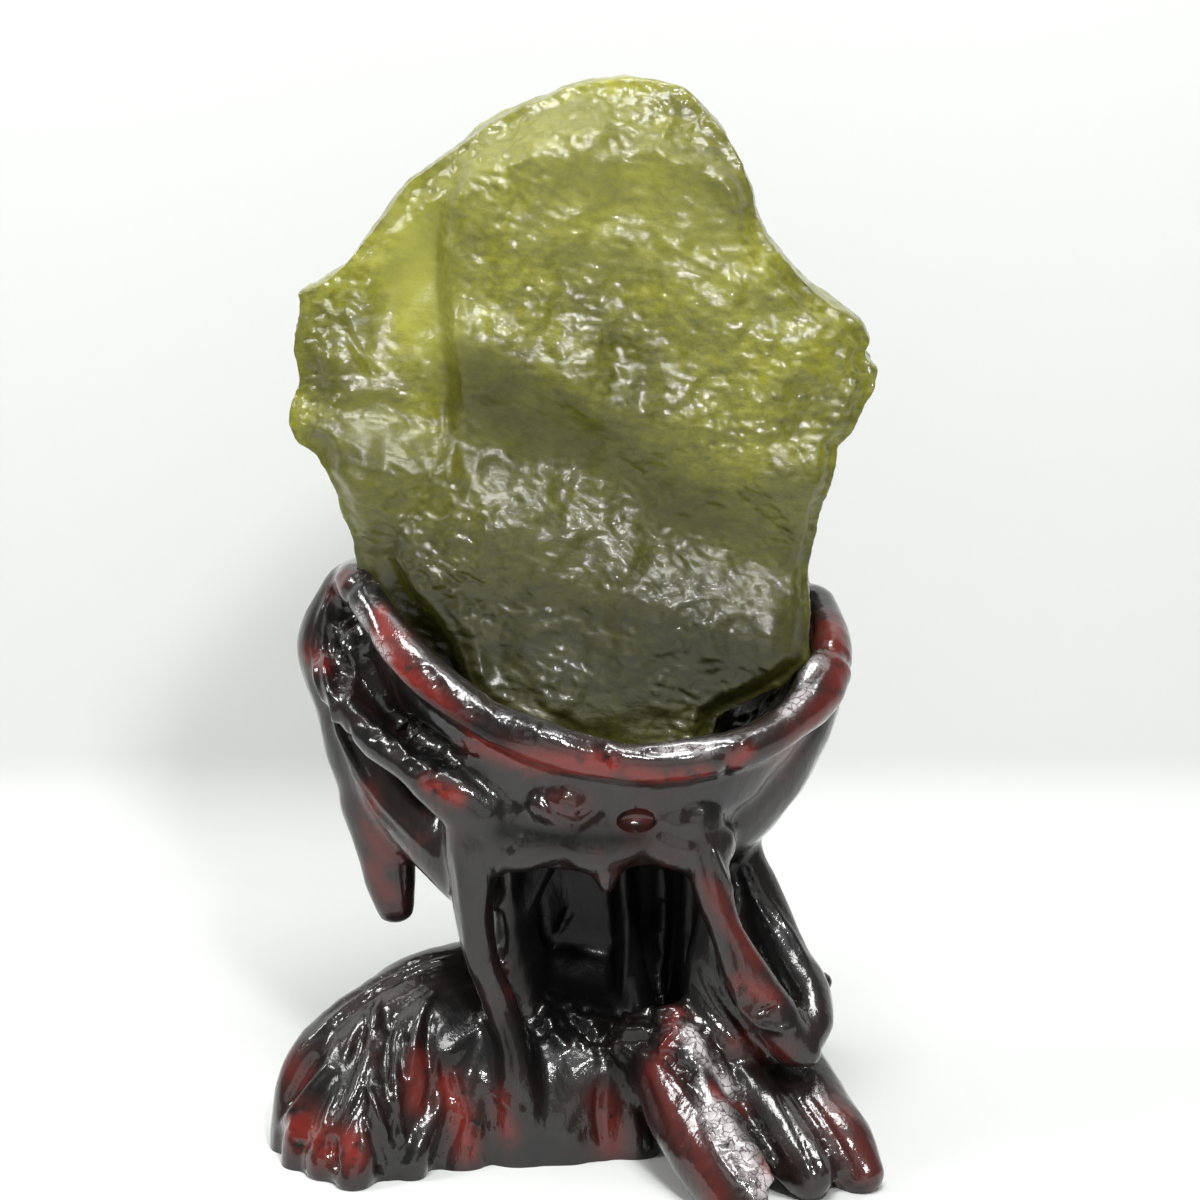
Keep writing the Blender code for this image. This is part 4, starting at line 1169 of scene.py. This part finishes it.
def between(tree, share, least, most):
    """A value that goes from one number to another as a share goes from 0 to 1."""
    sockets = {"Value": share, "To Min": least, "To Max": most}
    return node(tree, "ShaderNodeMapRange", sockets).outputs["Result"]


def attribute(tree, name):
    return node(tree, "ShaderNodeAttribute", attribute_name=name).outputs["Fac"]


def fine_bump(tree, surface, pattern, strength):
    """Unevenness too fine for the mesh, on the surface and on its coat."""
    sockets = {"Height": pattern, "Strength": strength, "Distance": BUMP_DISTANCE}
    bent = node(tree, "ShaderNodeBump", sockets).outputs["Normal"]
    fill(tree, surface, {"Normal": bent, "Coat Normal": bent})


# %% [markdown]
# ## The finish of the glass
# Natural glass lets light through, takes some of it away with depth, and scatters it at its
# hammered skin. So about three quarters of the surface is clear glass with a rough passage, the
# rest is a body colour that stands for the haze inside, and a wet-looking coat lies on top. A
# volume absorption makes thick places deeper in colour than thin ones. The coat makes the
# glints, so it is weak where the skin is dull.

# %% Glass material
GLASS_IOR = 1.46
GLASS_DENSITY = 160
GLASS_TINT = (0.70, 0.71, 0.03, 1)
# Colour from cloud to cloud in the glass, and the light and dark mottling over it
GLASS_CLOUDS = [(0.32, (0.30, 0.29, 0.03)), (0.5, (0.46, 0.45, 0.04)), (0.68, (0.64, 0.62, 0.05))]
GLASS_MOTTLE = [(0.34, grey(0.5)), (0.62, grey(1.25))]
GLASS_ROUGHNESS = [(0.35, grey(0.38)), (0.7, grey(0.55))]
# Darker glass: partly the body's own tone, partly painted shade
DARK_GLASS_AND_SHADE = (0.055, 0.052, 0.018, 1)
# Paler glass: painted light, as if lit through from behind
PAINTED_BACKLIGHT_GLASS = (0.80, 0.79, 0.20, 1)
# Weight of the coat on the bright skin and on the dull skin
GLASS_COAT = (0.7, 0.15)
GLASS_BUMP = 0.2


def glass_finish():
    glass, tree, surface = new_material("desert glass")
    where = node(tree, "ShaderNodeTexCoord").outputs["Object"]
    cloud = noise_node(tree, where, 38, detail=5, roughness=0.6, stretch=(1, 1, 2.0))
    mottle = noise_node(tree, where, 330, detail=6, roughness=0.72, stretch=(0.8, 1, 1.3))
    speck = noise_node(tree, where, 420, detail=2)
    fine = noise_node(tree, where, 1250, detail=3, roughness=0.6, stretch=(0.8, 1, 1.25))
    clouds, mottling = ramp(tree, cloud, GLASS_CLOUDS), ramp(tree, mottle, GLASS_MOTTLE)
    colour = mix(tree, 1.0, clouds, mottling, "MULTIPLY")
    # The dark mask lays the body's darker tone and painted shade over the colour
    colour = mix(tree, attribute(tree, "dark"), colour, DARK_GLASS_AND_SHADE)
    # The pale mask lays painted light: a paler colour where light shines through from behind
    colour = mix(tree, attribute(tree, "pale"), colour, PAINTED_BACKLIGHT_GLASS)
    fill(tree, surface, {
        "Base Color": colour,
        "Roughness": ramp(tree, speck, GLASS_ROUGHNESS),
        "IOR": GLASS_IOR,
        "Transmission Weight": 0.78,
        "Specular IOR Level": 0.05,
        "Coat Weight": between(tree, attribute(tree, "matte"), *GLASS_COAT),
        "Coat Roughness": 0.02,
        "Coat IOR": 1.42,
    })
    fine_bump(tree, surface, fine, GLASS_BUMP)
    inside = node(tree, "ShaderNodeVolumeAbsorption", {"Color": GLASS_TINT, "Density": GLASS_DENSITY})
    fill(tree, tree.nodes["Material Output"], {"Volume": inside.outputs["Volume"]})
    return glass


# %% [markdown]
# ## Paint on the slab
# Some of the slab's look is in its body: slanting darker bands and a dark patch beside the step.
# Some is painted light and shade. The lower part and the recessed lower lobe are painted darker,
# as shade, where the stand's dark socket stands behind the glass. The pale scoop of the lobe and
# the upper field are painted paler, as light shining through from behind. Some is in its skin:
# dull places that catch few glints. They are brushed onto the points as three soft masks, again
# by pixels of the photograph, and the material reads them. Noise makes the strokes' borders wander.

# %% Slab: dark, pale and dull masks
# Strokes: (width in pixels, strength, points u, v)
# Darker glass: the body's own bands and brown patch, and painted shade over the lower part and the
# recessed lobe, where the stand's dark socket stands behind the glass
DARK_TONE_AND_SHADE_STROKES = [
    (110, 0.55, [(500, 540), (600, 570), (760, 600)]),
    (40, 0.55, [(470, 400), (540, 440), (620, 480), (700, 520)]),
    (50, 0.40, [(350, 440), (380, 480), (400, 520)]),
    (85, 0.60, [(480, 640), (600, 680), (740, 670)]),
    (60, 0.65, [(370, 560), (400, 640), (440, 700)]),
    (40, 0.60, [(290, 330), (320, 350), (350, 330)]),
    (40, 0.40, [(345, 430), (385, 440), (420, 460)]),
    (50, 0.30, [(500, 470), (600, 520), (680, 560)]),
    (22, 0.40, [(460, 352), (520, 372), (560, 400)]),
    (42, 0.35, [(480, 395), (560, 430), (650, 480), (740, 520), (800, 545)]),
    (60, 0.30, [(520, 620), (600, 640), (700, 650), (780, 640)]),
    (70, 0.35, [(540, 700), (620, 710), (690, 700)]),
    (34, 0.45, [(590, 300), (612, 345), (640, 372)]),
    (30, 0.30, [(700, 120), (725, 160), (738, 215)]),
    (36, 0.55, [(375, 560), (420, 620), (450, 670), (480, 700)]),
    (26, 0.25, [(318, 330), (330, 380)]),
]
# Painted light: paler glass in the lobe's scoop and the upper field, where light from behind shines
# through thin glass
PAINTED_BACKLIGHT_STROKES = [
    (36, 0.75, [(415, 235), (420, 270), (425, 310), (440, 325)]),
    (30, 0.15, [(360, 425), (395, 440)]),
    (70, 0.35, [(560, 190), (640, 200), (700, 240)]),
    (30, 0.35, [(470, 165), (540, 115), (620, 98)]),
]
# Smooth dull places that catch few glints
MATTE_STROKES = [
    (42, 0.8, [(345, 440), (385, 440), (425, 450)]),
    (30, 0.8, [(418, 240), (420, 280), (430, 320)]),
    (34, 0.7, [(465, 360), (520, 380), (570, 400)]),
    (45, 0.5, [(500, 410), (600, 450), (700, 500)]),
    (60, 0.4, [(600, 190), (680, 210)]),
    (55, 0.65, [(690, 560), (740, 590), (780, 610)]),
    (40, 0.55, [(490, 470), (560, 490)]),
    (60, 0.35, [(560, 600), (660, 640)]),
]


def brush(pixels, strokes):
    """A soft mask, 0 to 1, from strokes in the photograph's pixels."""
    mask = np.zeros(len(pixels))
    for width, strength, path in strokes:
        distance, _ = to_path(pixels, path)
        mask = 1 - (1 - mask) * (1 - strength * np.exp(-((distance / width) ** 2)))
    return mask


def store(obj, name, values):
    layer = obj.data.attributes.new(name, "FLOAT", "POINT")
    layer.data.foreach_set("value", values.astype(np.float32))


WANDER_PITCH = (22, 12, 14)
WANDER_PIXELS = 10
# The paint is gone where the normal's y is above this: on the back
PAINT_FADE = 0.5
slab_places = places_of(slab)
wander = lumps(slab_places / MM, WANDER_PITCH, SEEDS["paint"])[:, None] * WANDER_PIXELS
from_front = smoothstep(PAINT_FADE - normals_of(slab)[:, 1])
# The dark mask holds the body's tone and painted shade, the pale mask painted light from behind
for name, strokes in (("dark", DARK_TONE_AND_SHADE_STROKES), ("pale", PAINTED_BACKLIGHT_STROKES), ("matte", MATTE_STROKES)):
    mask = brush(to_pixels(slab_places) + wander, strokes) * from_front
    store(slab, name, mask)
    print(name, "mask covers:", round(float(mask.mean()), 3))
slab.data.materials.clear()
slab.data.materials.append(glass_finish())

# %% [markdown]
# ## The finish of the root
# Nearly black lacquer lies over a red-brown wood. Where hands and polishing wore it thin, on the
# rim and the crests of the roots, the red shows through. The recesses are painted black as shade,
# and on the lip's rolls and the front root's crest pale crazed plates are partly a painted
# highlight. These places are strokes once more, carried to the root's skin and kept as three masks.

# %% Root: worn places, painted shade and crazed highlight
# (width in mm, strength, pixels)
WORN_STROKES = [
    (2.2, 1.0, [(470, 742), (497, 754), (523, 765), (557, 770), (607, 772)]),
    (2.0, 0.8, [(380, 612), (388, 636)]),
    (2.6, 1.0, [
        (352, 608), (372, 640), (400, 670), (440, 705), (477, 738), (523, 757), (567, 764), (608, 765),
    ]),
    (2.2, 1.0, [(632, 774), (665, 780), (703, 774)]),
    (2.0, 0.9, [(735, 762), (746, 754)]),
    (4.5, 0.55, [(832, 625), (845, 665), (838, 700), (812, 728), (790, 748)]),
    (3.0, 0.6, [(368, 795), (374, 832), (392, 858)]),
    (3.0, 0.45, [(372, 870), (392, 900)]),
    (2.5, 0.5, [(308, 655), (326, 664)]),
    (2.5, 0.4, [(345, 575), (334, 590)]),
    (2.0, 0.9, [(428, 784), (457, 798)]),
    (3.0, 0.35, [(709, 886), (738, 933), (756, 958)]),
    (2.5, 0.50, [(741, 983), (770, 997)]),
    (3.0, 0.30, [(745, 1040), (784, 1054)]),
    (5.0, 0.75, [(292, 1125), (310, 1132), (322, 1145)]),
    (3.0, 0.85, [(349, 1140), (354, 1158)]),
    (3.0, 0.60, [(419, 1060), (414, 1080), (418, 1100)]),
    (4.0, 0.35, [(285, 1060), (300, 1080)]),
    (3.0, 0.75, [(445, 1080), (460, 1115), (468, 1150)]),
    (2.5, 0.60, [(500, 1100), (508, 1135)]),
    (3.5, 0.50, [(601, 1092), (610, 1120), (612, 1145)]),
    (2.5, 0.65, [(680, 1016), (664, 1047), (650, 1072)]),
    (4.0, 0.35, [(652, 1060), (672, 1110), (700, 1160), (715, 1195)]),
    (3.5, 0.85, [(768, 1172), (792, 1198)]),
    (2.5, 0.60, [(716, 1092), (740, 1110)]),
    (3.0, 0.55, [(642, 820), (634, 832)]),
    (4.5, 0.30, [(830, 1110), (862, 1150), (872, 1185)]),
    (4.0, 0.25, [(560, 800), (576, 812)]),
]
# Recesses painted black as shade, with the coat taken off, in the same three columns
RECESS_SHADE_STROKES = [
    (5.0, 1.0, [(520, 930), (530, 980), (560, 1000)]),
    (7.0, 1.0, [(550, 910), (560, 960), (590, 1000)]),
    (7.0, 1.0, [(600, 915), (610, 960), (620, 1000)]),
    (7.0, 1.0, [(650, 905), (655, 950), (650, 1000)]),
    (6.0, 1.0, [(575, 885), (580, 930), (585, 980)]),
    (6.0, 1.0, [(625, 890), (630, 940), (635, 990)]),
    (5.0, 1.0, [(670, 900), (675, 950), (672, 1005)]),
    (5.0, 1.0, [(685, 925), (690, 960), (680, 1000)]),
    (7.0, 0.8, [(520, 1040), (560, 1070), (610, 1075), (645, 1050)]),
    (3.0, 0.9, [(503, 832), (545, 838), (600, 840), (640, 838)]),
    (2.5, 0.9, [(353, 705), (400, 740), (450, 772), (477, 780)]),
    (3.0, 0.8, [(395, 680), (440, 712), (500, 742)]),
    (5.0, 0.9, [(735, 870), (760, 920), (775, 960)]),
    (4.0, 0.7, [(345, 1060), (330, 1100)]),
    (4.0, 0.7, [(395, 1040), (392, 1075)]),
    (4.0, 0.7, [(440, 1000), (445, 1060)]),
    (4.0, 0.6, [(735, 1075), (760, 1120)]),
]
# The cavern under the arch, where little light falls, painted as shade: an ellipsoid with a soft border
CAVERN = dict(centre=(6, -10, 58), reach=(34, 21, 30), border=3)
# Crests where the lacquer has crazed into pale plates, which are partly a painted highlight on the
# lip's rolls and the front root's crest
CRAZED_HIGHLIGHT_STROKES = [
    (2.6, 1.0, [(690, 1030), (700, 1046), (712, 1066), (724, 1088)]),
    (3.2, 1.0, [(714, 1112), (728, 1132), (748, 1160), (770, 1194)]),
    (1.4, 0.6, [(664, 750), (690, 750), (712, 747)]),
    (1.6, 0.6, [(786, 712), (804, 690), (812, 664)]),
    (1.6, 0.7, [(358, 612), (372, 640), (386, 656)]),
]


def root_mask(root, strokes):
    """A soft mask, 0 to 1, from strokes of pixels carried to the root's skin."""
    tree = BVHTree.FromObject(root, bpy.context.evaluated_depsgraph_get())
    places = places_of(root)
    mask = np.zeros(len(places))
    for width, strength, pixels in strokes:
        near, distance, _ = along_stroke(places, carry(tree, pixels))
        mask[near] = 1 - (1 - mask[near]) * (1 - strength * np.exp(-((distance / width) ** 2)))
    return mask


# The first mask is real wear, the second painted shade in the recesses, the third crazing and partly a
# painted highlight
masks = {
    "worn": root_mask(root, WORN_STROKES),
    "recess_shade": root_mask(root, RECESS_SHADE_STROKES),
    "crazed_highlight": root_mask(root, CRAZED_HIGHLIGHT_STROKES),
}
# The cavern is painted as shade too
from_middle = ((places_of(root) / MM - np.array(SHIFT) - CAVERN["centre"]) / CAVERN["reach"]) ** 2
in_cavern = smoothstep(CAVERN["border"] * (1 - from_middle.sum(1)))
masks["recess_shade"] = np.maximum(masks["recess_shade"], in_cavern)
for name, mask in masks.items():
    store(root, name, mask)
    print(name, "mask covers:", round(float(mask.mean()), 3))

# %% [markdown]
# ## The lacquer
# The lacquer itself is the coat: glossy and even, while the wood under it has grain and small
# pits. The coat is nearly gone in the recesses, which are painted black as shade and so mirror
# hardly any light. The crazed plates, partly a painted highlight, are cells with dark edges, and
# noise bends their borders.

# %% Root: lacquer
LACQUER = (0.0050, 0.0050, 0.0048)
WOOD_UNDER = (0.014, 0.0065, 0.0055)
RED_UNDER = (0.085, 0.011, 0.008)
WORN_RED = (0.17, 0.013, 0.008, 1)
# Black painted as shade in the recesses
RECESS_SHADE_BLACK = (0.004, 0.004, 0.004, 1)
WOOD_BLOTCHES = [(0.38, LACQUER), (0.62, WOOD_UNDER), (0.74, RED_UNDER)]
WOOD_STREAKS = [(0.35, grey(0.55)), (0.65, grey(1.3))]
WOOD_ROUGHNESS = [(0.3, grey(0.30)), (0.7, grey(0.48))]
WEAR = [(0.30, grey(0)), (0.46, grey(1))]
# Pale crazed plates, partly a painted highlight
PALE_PLATES_AND_HIGHLIGHT = [(0.02, (0.10, 0.07, 0.07)), (0.10, (0.50, 0.47, 0.48))]
PLATE_BEND = 0.004
# Weight of the coat in the open and in the recesses painted as shade
WOOD_COAT = (1.0, 0.12)
WOOD_BUMP = 0.35


def crazed_highlight_plates(tree, where):
    """Small pale plates with dark cracks between them: crazing, and partly a painted highlight."""
    bend = node(tree, "ShaderNodeTexNoise", {"Vector": where, "Scale": 300, "Detail": 3})
    bent = mix(tree, PLATE_BEND, where, bend.outputs["Color"], "ADD")
    cells = node(tree, "ShaderNodeTexVoronoi", feature="DISTANCE_TO_EDGE")
    fill(tree, cells, {"Vector": bent, "Scale": 480})
    return ramp(tree, cells.outputs["Distance"], PALE_PLATES_AND_HIGHLIGHT)


def lacquer_finish():
    lacquer, tree, surface = new_material("lacquered root wood")
    where = node(tree, "ShaderNodeTexCoord").outputs["Object"]
    grain = noise_node(tree, where, 160, detail=6, roughness=0.65, stretch=(1, 1, 0.22), distortion=0.6)
    blotch = noise_node(tree, where, 45, detail=4, roughness=0.6)
    wear = ramp(tree, noise_node(tree, where, 210, detail=4, roughness=0.6), WEAR)
    fine = noise_node(tree, where, 380, detail=4, roughness=0.6, stretch=(1, 1, 0.4))
    recess_shade = attribute(tree, "recess_shade")
    blotches, streaks = ramp(tree, blotch, WOOD_BLOTCHES), ramp(tree, grain, WOOD_STREAKS)
    colour = mix(tree, 1.0, blotches, streaks, "MULTIPLY")
    colour = mix(tree, times(tree, attribute(tree, "worn"), wear), colour, WORN_RED)
    # Painted shade: the recesses turn black
    colour = mix(tree, recess_shade, colour, RECESS_SHADE_BLACK)
    # Crazing and painted highlight: pale plates on the rolls and crests
    colour = mix(tree, times(tree, attribute(tree, "crazed_highlight"), wear), colour, crazed_highlight_plates(tree, where))
    fill(tree, surface, {
        "Base Color": colour,
        "Roughness": ramp(tree, blotch, WOOD_ROUGHNESS),
        "IOR": 1.5,
        "Specular IOR Level": 0.18,
        "Coat Weight": between(tree, recess_shade, *WOOD_COAT),
        "Coat Roughness": 0.07,
        "Coat IOR": 1.5,
    })
    fine_bump(tree, surface, fine, WOOD_BUMP)
    return lacquer


root.data.materials.clear()
root.data.materials.append(lacquer_finish())
print("finishes:", [slot.data.materials[0].name for slot in (slab, root)])

# %% [markdown]
# ## Handing over
# The dressed slab and root stand for the CAD solids, which are hidden, and ride on the part's
# one body. Their box is printed.

# %% Hand over
STAND_NODES = [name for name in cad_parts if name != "desert_glass"]
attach(slab, "root")
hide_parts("desert_glass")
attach(root, "root")
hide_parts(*STAND_NODES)
seen_box = [list(corner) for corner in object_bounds()]
report("box now in mm:", in_mm(seen_box))
